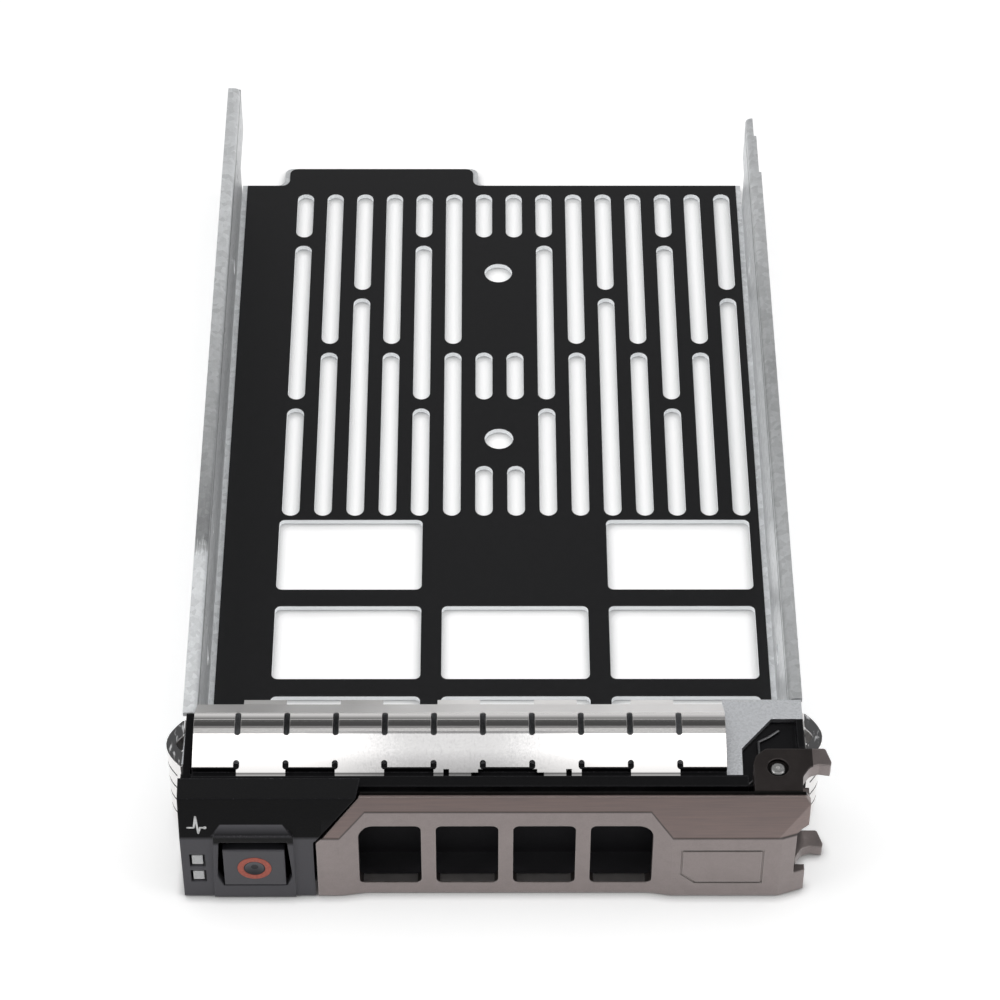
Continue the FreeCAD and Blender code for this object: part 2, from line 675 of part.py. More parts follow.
def make_bezel():
    """Moulded front: latch block, beam, back wall, arms and hinge pocket."""
    run, rise = block_slant
    wall = bezel_wall
    over_x = block_right_x + run * 1.3
    shell = prism_yz(block_profile(face_y), bezel_left_x, over_x).common(
        prism_xz(block_front(), -1, floor_front_y))
    # hollow behind the face, open at the back
    hollow = prism_yz(block_profile(face_y, wall), room_left_x, over_x).common(
        prism_xz(block_front(wall), -1, floor_front_y + 1))
    top_solid = block(bezel_left_x, over_x, 0, floor_front_y + 1, rail_top_z, bezel_top_z + 1)
    hollow = hollow.cut(top_solid)
    shell = shell.cut(hollow)
    # raised frame: its face stands proud of the block and dies into the slope
    slope = (brow_y - face_y) / (brow_z - crease_z)
    meet_y = face_y + (hood_top_z - crease_z) * slope
    side = [(hood_y, 0), (hood_y, hood_shoulder_z), (meet_y, hood_top_z),
            (meet_y + 0.8, hood_top_z), (face_y + wall, crease_z), (face_y + wall, 0)]
    hood = prism_yz(side, hood_left_x, hood_right_x).common(
        prism_xz(hood_outline(), -1, floor_front_y))
    hood = hood.cut(block(hood_left_x - 1, hood_right_x + 1, wall + face_y, 9, wall, rail_top_z))
    back = block(block_right_x - wall, foot_right_x, back_y, floor_front_y, 0, beam_top_z - 0.5)
    beam = block(block_right_x, beam_right_x, beam_front_y, floor_front_y,
                 beam_top_z - beam_depth, beam_top_z)
    floor = block(block_right_x - 0.5, foot_right_x, handle_wall + 0.4, floor_front_y, 0, wall)
    left_arm = block(left_arm_x, -arm_inner_x, floor_front_y, arm_rear_y, floor_z, rail_top_z - sheet)
    left_rim = block(left_arm_x, left_arm_x + arm_rim, floor_front_y, arm_rear_y,
                     rail_top_z - sheet, arm_top_z)
    foot = block(foot_left_x, foot_right_x, floor_front_y,
                 floor_front_y + foot_depth + foot_rear_gap, floor_z, floor_z + foot_height)
    cheek = block(pocket_left_x, foot_right_x, floor_front_y, arm_rear_y, floor_z, shelf_z)
    # the shelf closes the pocket below the bare corner plate
    shelf_plan = [(pocket_left_x, back_y), (pivot_x - 1, back_y), (pivot_x + 1.6, pivot_y + 2.4),
                  (pivot_x + 2.2, right_arm_front_y), (right_arm_x, right_arm_front_y),
                  (right_arm_x, arm_rear_y), (pocket_left_x, arm_rear_y)]
    shelf_plate = prism_xy(shelf_plan, shelf_z - shelf, shelf_z)
    low_plate = prism_xy(shelf_plan, lower_ear + ear_gap, lower_ear + ear_gap + shelf)
    low_plate = low_plate.cut(block(foot_left_x, foot_right_x, 0, arm_rear_y + 1, -1,
                                    floor_z + foot_height))
    side_z = leaf_low_z - 0.2
    right_arm = block(right_arm_x - arm_wall, right_arm_x, right_arm_front_y, arm_rear_y,
                      side_z, shelf_z)
    right_rim = block(right_arm_x - arm_wall, right_arm_x, right_arm_front_y,
                      corner_notch_places()[1][1] - 0.3, shelf_z, arm_top_z)
    boss = rod(pivot_x, pivot_y, lower_ear + ear_gap, shelf_z, boss_r)
    neck = rod(pivot_x, pivot_y, shelf_z, ear_top_z - ear - ear_gap, boss_neck_r)
    wing = block(foot_right_x - 1, pivot_x, back_y, floor_front_y, lower_ear + ear_gap, shelf_z)
    ledge = block(slider_left_x - 2.2, slider_left_x + 12.0, slider_front(), floor_front_y,
                  wall, shank_z[0] - 0.2)
    solids = [shell, hood, back, beam, floor, left_arm, left_rim, foot, cheek, shelf_plate,
              low_plate, right_arm, right_rim, boss, neck, wing, ledge]
    bezel = joined(solids)

    cuts = [prism_xz(opening_outline(), -1, face_y + wall + 0.01)]
    cuts.append(block(shield_left_x, beam_right_x - groove_end, groove_y[0], groove_y[1],
                      beam_top_z - groove_depth, bezel_top_z))
    cuts.append(block(left_arm_x - 1, shield_left_x, bezel_top_y, floor_front_y + 1,
                      arm_top_z, bezel_top_z))
    # the bare corner plate runs forward to the beam
    cuts.append(block(shield_right_x, foot_right_x + 1, groove_y[0], floor_front_y + 1,
                      rail_top_z, bezel_top_z))
    for node, (low, height) in pipe_low.items():
        x0, x1 = pipe_left_x, pipe_left_x + pipe_width
        gap = pipe_clearance
        cuts.append(block(x0 - pipe_window_margin, x1 + pipe_window_margin * 0.6, -1, face_y + 1.0,
                          low - 0.5, low + height + 0.45))
        cuts.append(block(x0 - gap, x1 + gap, -1, arm_rear_y + 1, low - gap, low + height + gap))
    cuts.append(block(left_arm_x - 1, -arm_inner_x + 1, arm_rear_y - 0.1, arm_rear_y + 1,
                      0, arm_top_z + 1))
    # way through for the latch nose
    cuts.append(block(block_right_x - wall - 0.5, block_right_x + 0.5, nose_y()[0] - 0.3,
                      nose_y()[1] + 0.3, catch_z[0] - 0.4, catch_z[1] + 0.4))
    cuts.append(rod(pivot_x, pivot_y, 0, bezel_top_z, pin_r + pin_press_gap))
    cuts.extend(screw_holes(bezel_screw_r + pin_press_gap, head=False))
    return bezel.cut(Part.makeCompound(cuts))


def make_bezel_screws():
    """Four flat-head screws up through the floor."""
    screws = []
    for x, y in bezel_screws:
        shank = rod(x, y, 0.05, bezel_screw_length, bezel_screw_r)
        head = Part.makeCone(bezel_screw_head_r, bezel_screw_r, floor_z - 0.15, Vector(x, y, 0.05))
        screws.append(joined([shank, head]))
    return group(screws)


# ---------------------------------------------------------------- latch
def slider_front():
    """Front of the slider's rear bar."""
    return floor_front_y - slider_gap - slider_bar


def wedge_line():
    """Y minus X along the button's wedge face."""
    return button_cap + shank_root - shank_x[0]


def nose_y():
    """Front and rear of the latch nose."""
    rear = catch_rear_y - catch_hook_depth - 0.2
    return rear - nose, rear


def make_button():
    """Release button with two guide lugs and a wedge behind."""
    cap = block(button_x[0], button_x[1], 0, button_cap, button_z[0], button_z[1])
    cap_edges = [e for e in cap.Edges if all(abs(v.Point.y) < 1e-6 for v in e.Vertexes)]
    cap = cap.makeFillet(0.25, cap_edges)
    lug_front = face_y + bezel_wall + stop_gap
    link = block(button_x[0] + 1, button_x[1] - 1, button_cap - 0.4, lug_front + button_lug,
                 button_z[1] - 1.2, button_z[1])
    top = block(button_x[0] + 1, button_x[1] - 1, lug_front, lug_front + button_lug,
                button_z[1] - 1.2, button_z[1] + button_lug_height)
    link_low = block(button_x[0] + 1, button_x[1] - 1, button_cap - 0.4, lug_front + button_lug,
                     button_z[0], button_z[0] + 1.2)
    low = block(button_x[0] + 1, button_x[1] - 1, lug_front, lug_front + button_lug,
                bezel_wall + 0.3, button_z[0] + 1.2)
    root = button_cap + shank_root
    plan = [(shank_x[0], button_cap - 0.2), (shank_x[1], button_cap - 0.2),
            (shank_x[1], root + wedge_depth), (shank_x[0] + wedge_depth, root + wedge_depth),
            (shank_x[0], root)]
    shank = prism_xy(plan, *shank_z)
    button = joined([cap, link, top, link_low, low, shank])
    centre = Vector(sum(button_x) / 2, 0, ring_centre_z)
    back = Vector(0, 1, 0)
    groove = Part.makeCylinder(ring_r, ring_depth, centre, back).cut(
        Part.makeCylinder(ring_inner_r, ring_depth, centre, back))
    inner = ring_inner_r - 0.15
    ball_r = (inner ** 2 + dimple ** 2) / (2 * dimple)
    hollow = Part.makeSphere(ball_r, centre + Vector(0, dimple - ball_r, 0))
    return button.cut(groove).cut(hollow)


def make_button_ring():
    """Coloured ring let into the button's face."""
    centre = Vector(sum(button_x) / 2, 0, ring_centre_z)
    proud = 0.04
    start = centre - Vector(0, proud, 0)
    back = Vector(0, 1, 0)
    return Part.makeCylinder(ring_r, ring_depth + proud, start, back).cut(
        Part.makeCylinder(ring_inner_r, ring_depth + proud, start, back))


def make_slider():
    """Latch slider: wedge block, rear bar and the nose that holds the catch."""
    front = button_cap + shank_root
    offset = wedge_line() + wedge_gap * math.sqrt(2)
    bar_y = slider_front()
    rear = floor_front_y - slider_gap
    deep = front + wedge_depth + 0.1
    arm_x1 = block_right_x - bezel_wall - 0.9
    arm_x0 = arm_x1 - slider_arm
    tip = catch_x - nose_gap
    y0, y1 = nose_y()
    plan = [(slider_left_x, front), (front - offset, front), (deep - offset, deep),
            (deep - offset, bar_y), (arm_x0, bar_y), (arm_x0, y0), (tip - 0.7, y0), (tip, y1 - 0.5),
            (tip, y1), (arm_x1, y1), (arm_x1, rear), (slider_left_x, rear)]
    slider = prism_xy(plan, *shank_z)
    trim_low = block(arm_x0 - 0.01, tip + 1, y0 - 1, rear + 1, shank_z[0] - 1, catch_z[0] + 0.1)
    trim_high = block(arm_x0 - 0.01, tip + 1, y0 - 1, rear + 1, catch_z[1] - 0.1, shank_z[1] + 1)
    bore = cross_rod(slider_left_x - 1, slider_left_x + spring_bore, spring_y(), spring_z(),
                     spring_bore_r)
    return slider.cut(Part.makeCompound([trim_low, trim_high, bore]))


def spring_y():
    """The latch spring's axis, just ahead of the slider's rear bar."""
    return slider_front() - 0.4


def spring_z():
    """The latch spring lies at the slider's mid height."""
    return sum(shank_z) / 2


def make_latch_spring():
    """Compression spring from the bezel's rib into the slider's bore."""
    start = room_left_x + latch_end_gap
    end = slider_left_x + spring_bore - latch_end_gap
    length = end - start - latch_wire
    turned = winding(Vector(start + latch_wire / 2, spring_y(), spring_z()), latch_coil_r,
                     latch_turns, length / latch_turns, Vector(1, 0, 0), Vector(0, 1, 0))
    return wire_through(turned, latch_wire / 2)


# ---------------------------------------------------------------- handle
def ear_plan():
    """Outline of an ear with its claw, about the pivot."""
    x, y = pivot_x, pivot_y
    front = handle_wall - 0.5
    return [(x - ear_left, front), (x - ear_left, y + 0.9), (x - ear_left + 0.5, y + 2.6),
            (x - 1.9, y + ear_rear), (x + claw_reach - claw_nose, y + ear_rear),
            (x + claw_reach, y + claw_tip_y)] + [
            (x + dx, y + dy) for dx, dy in claw_throat] + [(x + claw_throat[-1][0], front)]


def make_ear(z0, z1):
    """One ear: rounded heel, hooked claw."""
    solid = prism_xy(ear_plan(), z0, z1)
    x, y = pivot_x, pivot_y
    heel = [(x - ear_left, y + 0.9), (x - ear_left + 0.5, y + 2.6), (x - 1.9, y + ear_rear)]
    solid = round_upright(solid, heel, 1.0)
    throat = [(x + dx, y + dy) for dx, dy in claw_throat[2:4]]
    solid = round_upright(solid, throat, 1.6)
    tip = [(x + claw_reach - claw_nose, y + ear_rear), (x + claw_reach, y + claw_tip_y)]
    return round_upright(solid, tip, 0.5)


def make_handle():
    """Die-cast handle: sloped front, four ports, two ears with claws, catch."""
    lean_run = (handle_top_z - block_slant_z) / block_slant[1] * block_slant[0]
    corner_x, corner_z = handle_corner
    front = [(handle_left_x, 0), (handle_right_x, 0), (handle_right_x, handle_top_z - corner_z),
             (handle_right_x - corner_x, handle_top_z),
             (handle_left_x + lean_run, handle_top_z), (handle_left_x, block_slant_z - 0.1)]
    side = [(handle_step, 0), (handle_step, handle_crease_z - handle_step),
            (0, handle_crease_z), (handle_lean, handle_top_z),
            (handle_lean + handle_lip, handle_top_z), (handle_wall, recess_top_z),
            (handle_wall, 0)]
    body = prism_yz(side, handle_left_x, handle_right_x).common(
        prism_xz(front, -1, handle_lean + handle_lip + 1))

    # sunk middle panel: ramps at both ends, a little deeper at the top
    ramp_x = (recess_left_x - recess_ramp_left, recess_right_x + recess_ramp_right)

    def panel(depth, z):
        plan = [(ramp_x[0], handle_step), (recess_left_x, depth), (recess_right_x, depth),
                (ramp_x[1], handle_step), (ramp_x[1], -1), (ramp_x[0], -1)]
        places = [Vector(x, y, z) for x, y in plan]
        return Part.makePolygon(places + places[:1])
    sunk = Part.makeLoft([panel(recess_bottom, -0.001), panel(recess_top, recess_top_z)], True, True)
    view = [(ramp_x[0], -1), (ramp_x[1], -1), (ramp_x[1], handle_crease_z),
            (recess_right_x, recess_top_z), (recess_left_x, recess_top_z),
            (ramp_x[0], handle_crease_z)]
    sunk = sunk.common(prism_xz(view, -1, handle_wall))
    bevel_x = handle_right_x - bevel_width
    bevel_end = handle_right_x + 1
    bevel_y = bevel_depth / bevel_width * (bevel_end - bevel_x)
    bevel = prism_xy([(bevel_x, 0), (bevel_end, bevel_y), (bevel_end, -1), (bevel_x, -1)],
                     -1, handle_top_z + 1)
    notch = prism_xz([(handle_right_x + (dx or 1), z) for dx, z in end_notch],
                     -1, side_wall_rear_y + 1)
    cuts = [sunk, bevel, notch]
    for i in range(4):
        x = port_first_x + i * port_pitch
        port = block(x - port_width / 2, x + port_width / 2, -1, handle_wall + 1,
                     port_low_z, port_high_z)
        big, small = [], []
        for edge in port.Edges:
            a, b = edge.Vertexes[0].Point, edge.Vertexes[-1].Point
            if abs(a.y - b.y) < 1:
                continue
            outer = (i == 0 and a.x < x) or (i == 3 and a.x > x)
            (big if outer and a.z > port_low_z + 1 else small).append(edge)
        port = port.makeFillet(port_r, small)
        if big:
            place = big[0].Vertexes[0].Point
            again = [e for e in port.Edges if abs(e.Vertexes[0].Point.x - place.x) < 1e-4
                     and abs(e.Vertexes[0].Point.z - place.z) < 1e-4
                     and abs(e.Vertexes[0].Point.y - e.Vertexes[-1].Point.y) > 1]
            port = port.makeFillet(port_big_r, again)
        cuts.append(port)
    # outline groove of the plain pad on the right block
    def pad(margin):
        x0, x1 = pad_x[0] + margin, pad_x[1] - margin
        z0, z1 = pad_z[0] + margin, pad_z[1] - margin
        return prism_xz([(x0 + pad_corner, z0), (x1, z0), (x1, z1), (x0, z1), (x0, z0 + pad_corner)],
                        -0.5, handle_step + pad_depth)
    cuts.append(pad(0).cut(pad(pad_line)))
    body = body.cut(Part.makeCompound(cuts))

    upper = make_ear(ear_top_z - ear, ear_top_z)
    lower = make_ear(0, lower_ear)
    gusset = block(handle_right_x - side_wall, handle_right_x, handle_wall - 0.5,
                   side_wall_rear_y, end_notch[0][1], ear_top_z - ear)
    left_rib = block(pivot_x - ear_left, pivot_x - ear_left + rib, handle_wall - 0.5, rib_rear_y,
                     0, ear_top_z - ear)
    hook_x1 = catch_x + catch_hook
    stem = block(hook_x1, hook_x1 + catch_stem, handle_wall - 0.5, catch_rear_y, *catch_z)
    hook = block(catch_x, hook_x1 + catch_stem, catch_rear_y - catch_hook_depth, catch_rear_y,
                 *catch_z)
    handle = joined([body, upper, lower, gusset, left_rib, stem, hook])
    top = handle_top_z + 1
    bores = [rod(pivot_x, pivot_y, -1, top, pin_r + pin_gap),
             rod(pivot_x, pivot_y, ear_top_z - ear_counterbore, top, ear_counterbore_r)]
    return handle.cut(Part.makeCompound(bores))


def make_pin():
    """Hinge pin pressed in the bezel, ends broken and centre-punched."""
    pin = rod(pivot_x, pivot_y, pin_low_z, pin_high_z, pin_r)
    ends = [e for e in pin.Edges if e.Closed]
    pin = pin.makeChamfer(0.25, ends)
    punch = Part.makeCone(0.05, 0.35, 0.3, Vector(pivot_x, pivot_y, pin_high_z - 0.3))
    return pin.cut(punch)


def make_torsion_spring():
    """Spring round the boss neck that throws the handle open; both legs leave as tangents."""
    r = torsion_wire / 2
    low = shelf_z + torsion_seat_gap + r
    axis = Vector(pivot_x, pivot_y, low)
    turned = winding(axis, torsion_coil_r, torsion_turns, torsion_pitch, Vector(0, 0, 1),
                     Vector(1, 0, 0), 180)
    first, last = turned[0], turned[-1]
    hook_y = pivot_y + torsion_leg
    fixed = [Vector(first.x + dx, hook_y + dy, low) for dx, dy in reversed(torsion_hook)]
    fixed.append(Vector(first.x, hook_y, low))
    # the upper leg runs forward as a tangent to the back of the handle
    out = last - axis
    along = Vector(-out.y, out.x).normalize()
    reach = (handle_wall + r + torsion_tip_gap - last.y) / along.y
    return wire_through(fixed + turned + [last + along * reach], r)


# ---------------------------------------------------------------- light pipes
def make_light_pipe(node):
    """Clear bar from the front lens to the rear end of the left rail."""
    low, height = pipe_low[node]
    run_low = pipe_run_low[node]
    inner = -(rail_outer_x + pipe_wall_gap)
    outer = inner - pipe_run
    x0, x1 = pipe_left_x, pipe_left_x + pipe_width
    jog0, jog1 = pipe_jog_y
    plan = [(x0, pipe_face_y), (x1, pipe_face_y), (x1, jog0), (inner, jog1),
            (inner, jog1 + 1), (outer, jog1 + 1), (outer, jog1), (x0, jog0)]
    head = prism_xy(plan, low, low + height)
    rise0, rise1 = pipe_rise_y
    side = [(jog1, low), (rise0, low), (rise1, run_low), (pipe_rear_y, run_low),
            (pipe_rear_y, run_low + pipe_run_height), (rise1, run_low + pipe_run_height),
            (rise0, low + height), (jog1, low + height)]
    rail = prism_yz(side, outer, inner)
    z = run_low + pipe_run_height / 2
    stakes = [cross_rod(inner - 0.3, -rail_x - 0.05, y, z, stake_r) for y in stake_places()]
    return joined([head, rail] + stakes)


# ---------------------------------------------------------------- shields
def rolled_crown():
    """Places along the crown, rolled between the middles of the runs beside it."""
    (y0, z0), (y1, z1), (y2, z2) = shield_shoulder, shield_crown, shield_knee
    start, end = ((y0 + y1) / 2, (z0 + z1) / 2), ((y1 + y2) / 2, (z1 + z2) / 2)
    places = []
    for i in range(crown_runs + 1):
        t = i / crown_runs
        a, b, c = (1 - t) ** 2, 2 * t * (1 - t), t ** 2
        places.append((a * start[0] + b * y1 + c * end[0], a * start[1] + b * z1 + c * end[1]))
    return places


def hook_cutters(slits):
    """Gaps that leave a hook at the outer side of two tongues and a short tab at the inner."""
    tip, fold = shield_tongue[0] - 1, shield_front[0] + front_notch[0]
    low, high = beam_top_z - groove_depth, bezel_top_z
    cutters = []
    for i, side in hook_tongues.items():
        outer = slits[i] if side > 0 else slits[i + 1]
        for (near, wide), rear in ((hook_gap, fold), (hook_tab, shield_tongue[0] + hook_tab_short),
                                   ((hook_tab[1], slit_pitch + slit), fold)):
            x0, x1 = sorted((outer + side * near, outer + side * wide))
            cutters.append(block(x0, x1, tip, rear, low, high))
    return cutters


def make_top_shield():
    """Stainless strip of spring fingers over the front."""
    rear_low = [shield_knee, shield_odd_edge]
    rear_high = [shield_knee, shield_even_knee, shield_even_edge]
    middle = [shield_front, shield_shoulder] + rolled_crown()
    strips = [prism_yz(sheet_outline(middle + rear_low, shield), shield_left_x, shield_right_x)]
    slits = [slit_first_x + i * slit_pitch for i in range(slit_count)]
    for i in range(0, slit_count, 2):
        x0, x1 = slits[i], slits[i + 1]
        tongue = sheet_outline([shield_tongue] + middle[:2], shield)
        finger = sheet_outline(middle[-2:] + rear_high, shield)
        strips.append(prism_yz(tongue, x0, x1))
        strips.append(prism_yz(finger, x0 + slit / 2, x1 - slit / 2))
    strip = joined(strips)
    y0, y1 = slit_y
    fold = shield_front[0]
    cuts = hook_cutters(slits)
    for x in slits:
        cuts.append(slot_cutter(x, y0, y1, slit, beam_top_z, bezel_top_z + 1))
        cuts.append(slot_cutter(x, fold + front_notch[0], fold + front_notch[1], slit,
                                beam_top_z - groove_depth, bezel_top_z + 1))
    return strip.cut(Part.makeCompound(cuts))


def make_side_spring(side):
    """Bowed stainless fingers on the outside of an arm."""
    arm = -left_arm_x if side < 0 else right_arm_x
    front = left_leaf_front_y if side < 0 else right_leaf_front_y
    rear = front + side_leaf_length
    base = arm + shield / 2
    bow = [(base, rear), (base, front), (base + 0.35, front - 0.1)]
    steps = 10
    for i in range(1, steps):
        t = i / steps
        bow.append((base + 0.35 + side_leaf_bow * math.sin(math.pi * t) ** 0.9,
                    front - 0.1 + (side_leaf_length - 0.1) * t))
    bow.append((base + 0.4, rear - 0.25))
    plan = [(side * x, y) for x, y in sheet_outline(bow, shield)]
    leaf = prism_xy(plan, leaf_low_z, leaf_high_z)
    pitch = (leaf_high_z - leaf_low_z + leaf_slit) / leaf_fingers
    cuts = []
    for i in range(1, leaf_fingers):
        z = leaf_low_z + i * pitch - leaf_slit
        x0, x1 = sorted((side * (base + 0.25), side * (base + side_leaf_bow + 1)))
        cuts.append(block(x0, x1, front + 0.6, rear + 1, z, z + leaf_slit))
    return leaf.cut(Part.makeCompound(cuts))


# ---------------------------------------------------------------- export
pieces = {
    "tray": make_tray(),
    "insulating_film": make_film(),
    "front_cross_member": make_cross_member(),
    "cross_member_rivets": make_rivets(),
    "bezel": make_bezel(),
    "bezel_screws": make_bezel_screws(),
    "release_button": make_button(),
    "button_ring": make_button_ring(),
    "latch_slider": make_slider(),
    "latch_spring": make_latch_spring(),
    "ejector_handle": make_handle(),
    "pivot_pin": make_pin(),
    "handle_torsion_spring": make_torsion_spring(),
    "top_emi_shield": make_top_shield(),
    "left_emi_spring": make_side_spring(-1),
    "right_emi_spring": make_side_spring(1),
}
for pipe in pipe_low:
    pieces[pipe] = make_light_pipe(pipe)

os.makedirs("parts", exist_ok=True)
for name, shape in pieces.items():
    shape.translate(Vector(0, -origin_y, 0))
    shape.exportStep("parts/" + name + ".step")
    solids = len(shape.Solids)
    print(name, "solids", solids, "valid", shape.isValid(), "volume", round(shape.Volume, 2))
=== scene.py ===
import math
import bmesh
import bpy
from mathutils import Matrix, Vector


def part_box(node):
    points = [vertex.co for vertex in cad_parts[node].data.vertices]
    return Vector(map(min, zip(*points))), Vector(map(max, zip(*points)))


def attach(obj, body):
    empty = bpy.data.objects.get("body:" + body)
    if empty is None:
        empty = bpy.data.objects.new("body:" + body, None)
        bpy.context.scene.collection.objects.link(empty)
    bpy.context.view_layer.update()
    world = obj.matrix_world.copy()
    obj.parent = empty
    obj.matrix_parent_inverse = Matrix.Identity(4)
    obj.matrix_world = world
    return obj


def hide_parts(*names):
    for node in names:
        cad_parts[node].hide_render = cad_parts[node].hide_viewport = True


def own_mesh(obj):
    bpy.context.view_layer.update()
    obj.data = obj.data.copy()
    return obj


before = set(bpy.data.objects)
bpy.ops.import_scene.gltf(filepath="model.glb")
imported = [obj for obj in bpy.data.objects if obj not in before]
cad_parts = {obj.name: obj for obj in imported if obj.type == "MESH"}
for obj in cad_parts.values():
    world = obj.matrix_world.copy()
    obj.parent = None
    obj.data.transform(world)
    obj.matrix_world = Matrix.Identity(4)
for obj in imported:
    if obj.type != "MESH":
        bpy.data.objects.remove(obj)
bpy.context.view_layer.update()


# ------------------------------------------------------------------ studio
# One long-lens camera in front of the caddy and well above it.  A pale
# floor that fades to grey far off, an overhead softbox and two low fills.
camera_data = bpy.data.cameras.new("studio_camera")
camera_data.lens = 130.9
camera_data.sensor_width = 36.0
camera_data.clip_start, camera_data.clip_end = 0.05, 20.0
camera = bpy.data.objects.new("studio_camera", camera_data)
bpy.context.scene.collection.objects.link(camera)
heading, tilt, roll = (math.radians(turn) for turn in (-0.344, 43, 0.23))
camera.matrix_world = (Matrix.Translation((-0.00136, -0.47551, 0.50368))
                       @ Matrix.Rotation(heading, 4, "Z")
                       @ Matrix.Rotation(tilt, 4, "X")
                       @ Matrix.Rotation(roll, 4, "Z"))
bpy.context.scene.camera = camera
bpy.context.scene.view_settings.view_transform = "Standard"


def new_object(name, mesh):
    """Puts a finished bmesh into the scene, at the origin."""
    made = bpy.data.objects.new(name, bpy.data.meshes.new(name))
    bpy.context.scene.collection.objects.link(made)
    mesh.to_mesh(made.data)
    mesh.free()
    return made


floor_half, floor_drop = 3.0, 0.0003
paper_sheet = bmesh.new()
bmesh.ops.create_grid(paper_sheet, x_segments=4, y_segments=4, size=floor_half,
                      matrix=Matrix.Translation((0, 0, -floor_drop)))
studio_floor = new_object("studio_floor", paper_sheet)


def shader_node(tree, kind, **values):
    """Adds a node; values fill its inputs or settings, and sockets are linked."""
    made = tree.nodes.new("ShaderNode" + kind)
    for name, value in values.items():
        label = name.replace("_", " ")
        if label not in made.inputs:
            setattr(made, name, value)
        elif isinstance(value, bpy.types.NodeSocket):
            tree.links.new(value, made.inputs[label])
        else:
            made.inputs[label].default_value = value
    return made


def maths(tree, operation, *operands, clamp=False):
    """Adds a math node and returns its result."""
    made = tree.nodes.new("ShaderNodeMath")
    made.operation, made.use_clamp = operation, clamp
    for socket, value in zip(made.inputs, operands):
        if isinstance(value, bpy.types.NodeSocket):
            tree.links.new(value, socket)
        else:
            socket.default_value = value
    return made.outputs[0]


def product(tree, *factors):
    """Several values multiplied together."""
    result = factors[0]
    for factor in factors[1:]:
        result = maths(tree, "MULTIPLY", result, factor)
    return result


def largest(tree, *values):
    """The greatest of several values."""
    result = values[0]
    for value in values[1:]:
        result = maths(tree, "MAXIMUM", result, value)
    return result


def fade(tree, value, none_at, full_at):
    """Mask that grows from 0 where value is none_at to 1 where it is full_at."""
    gain = 1 / (full_at - none_at)
    return maths(tree, "MULTIPLY_ADD", value, gain, -none_at * gain, clamp=True)


def graded(tree, factor, *stops):
    """Adds a colour ramp through (place, colour) stops."""
    ramp = tree.nodes.new("ShaderNodeValToRGB")
    points = ramp.color_ramp.elements
    while len(points) < len(stops):
        points.new(0.5)
    for point, (place, colour) in zip(points, stops):
        colour = (colour,) * 3 if isinstance(colour, float) else colour
        point.position, point.color = place, (*colour, 1.0)
    tree.links.new(factor, ramp.inputs[0])
    return ramp.outputs[0]


# the paper glows white to the camera where nothing shades it, and near the caddy in its metal
glow_ends_y, glow_full_y = -0.1589, -0.1232
contact_reach, contact_dark, contact_open = 0.0018, 0.5455, 1.0
paper_glow = 0.42
floor_paper = bpy.data.materials.new("floor_paper")
floor_paper.use_nodes = True
tree = floor_paper.node_tree
shader = tree.nodes["Principled BSDF"]
place = shader_node(tree, "TexCoord").outputs["Object"]
distance = shader_node(tree, "VectorMath", operation="LENGTH", Vector=place).outputs["Value"]
tree.links.new(graded(tree, distance, (0.0, 0.80), (0.45, 0.74), (1.0, 0.45)),
               shader.inputs["Base Color"])
shader.inputs["Roughness"].default_value = 0.85
path = shader_node(tree, "LightPath").outputs
beyond = shader_node(tree, "SeparateXYZ", Vector=place).outputs["Y"]
near = fade(tree, beyond, glow_ends_y, glow_full_y)
mirrored = largest(tree, path["Is Glossy Ray"], path["Is Transmission Ray"])
shade = shader_node(tree, "AmbientOcclusion", samples=8, Distance=contact_reach).outputs["AO"]
open_paper = fade(tree, shade, contact_dark, contact_open)
glow = largest(tree, product(tree, path["Is Camera Ray"], open_paper), product(tree, mirrored, near))
shader.inputs["Emission Color"].default_value = (1, 1, 1, 1)
tree.links.new(product(tree, glow, paper_glow), shader.inputs["Emission Strength"])
studio_floor.data.materials.append(floor_paper)


def scaled(tree, value, gain, offset):
    """A value times gain, plus offset."""
    return maths(tree, "MULTIPLY_ADD", value, gain, offset)


def mixed(tree, mask, under, over, **settings):
    """Lays one colour over another where the mask says."""
    made = shader_node(tree, "Mix", data_type="RGBA", **settings)
    for socket, value in zip((made.inputs[0], made.inputs[6], made.inputs[7]), (mask, under, over)):
        if isinstance(value, bpy.types.NodeSocket):
            tree.links.new(value, socket)
        else:
            socket.default_value = value
    return made.outputs[2]


# the room by height, from 0.5 at the horizon to 1.0 overhead: its dark stretch draws the shield's crown
world = bpy.data.worlds.new("studio_room")
bpy.context.scene.world = world
world.use_nodes = True
tree = world.node_tree
toward = shader_node(tree, "SeparateXYZ", Vector=shader_node(tree, "TexCoord").outputs["Generated"])
height = scaled(tree, toward.outputs["Z"], 0.5, 0.5)
rear_room = graded(tree, height, (0.5, 0.48), (0.77, 0.74), (0.815, 0.74), (0.832, 0.09),
                   (0.912, 0.07), (0.9415, 0.34), (0.952, 0.9), (0.962, 0.25))
front_room = graded(tree, height, (0.5, 0.24), (0.7, 0.22), (0.85, 0.4), (0.9, 0.25))
to_rear = fade(tree, toward.outputs["Y"], -1 / 3, 1 / 3)
tree.links.new(mixed(tree, to_rear, front_room, rear_room), tree.nodes["Background"].inputs["Color"])

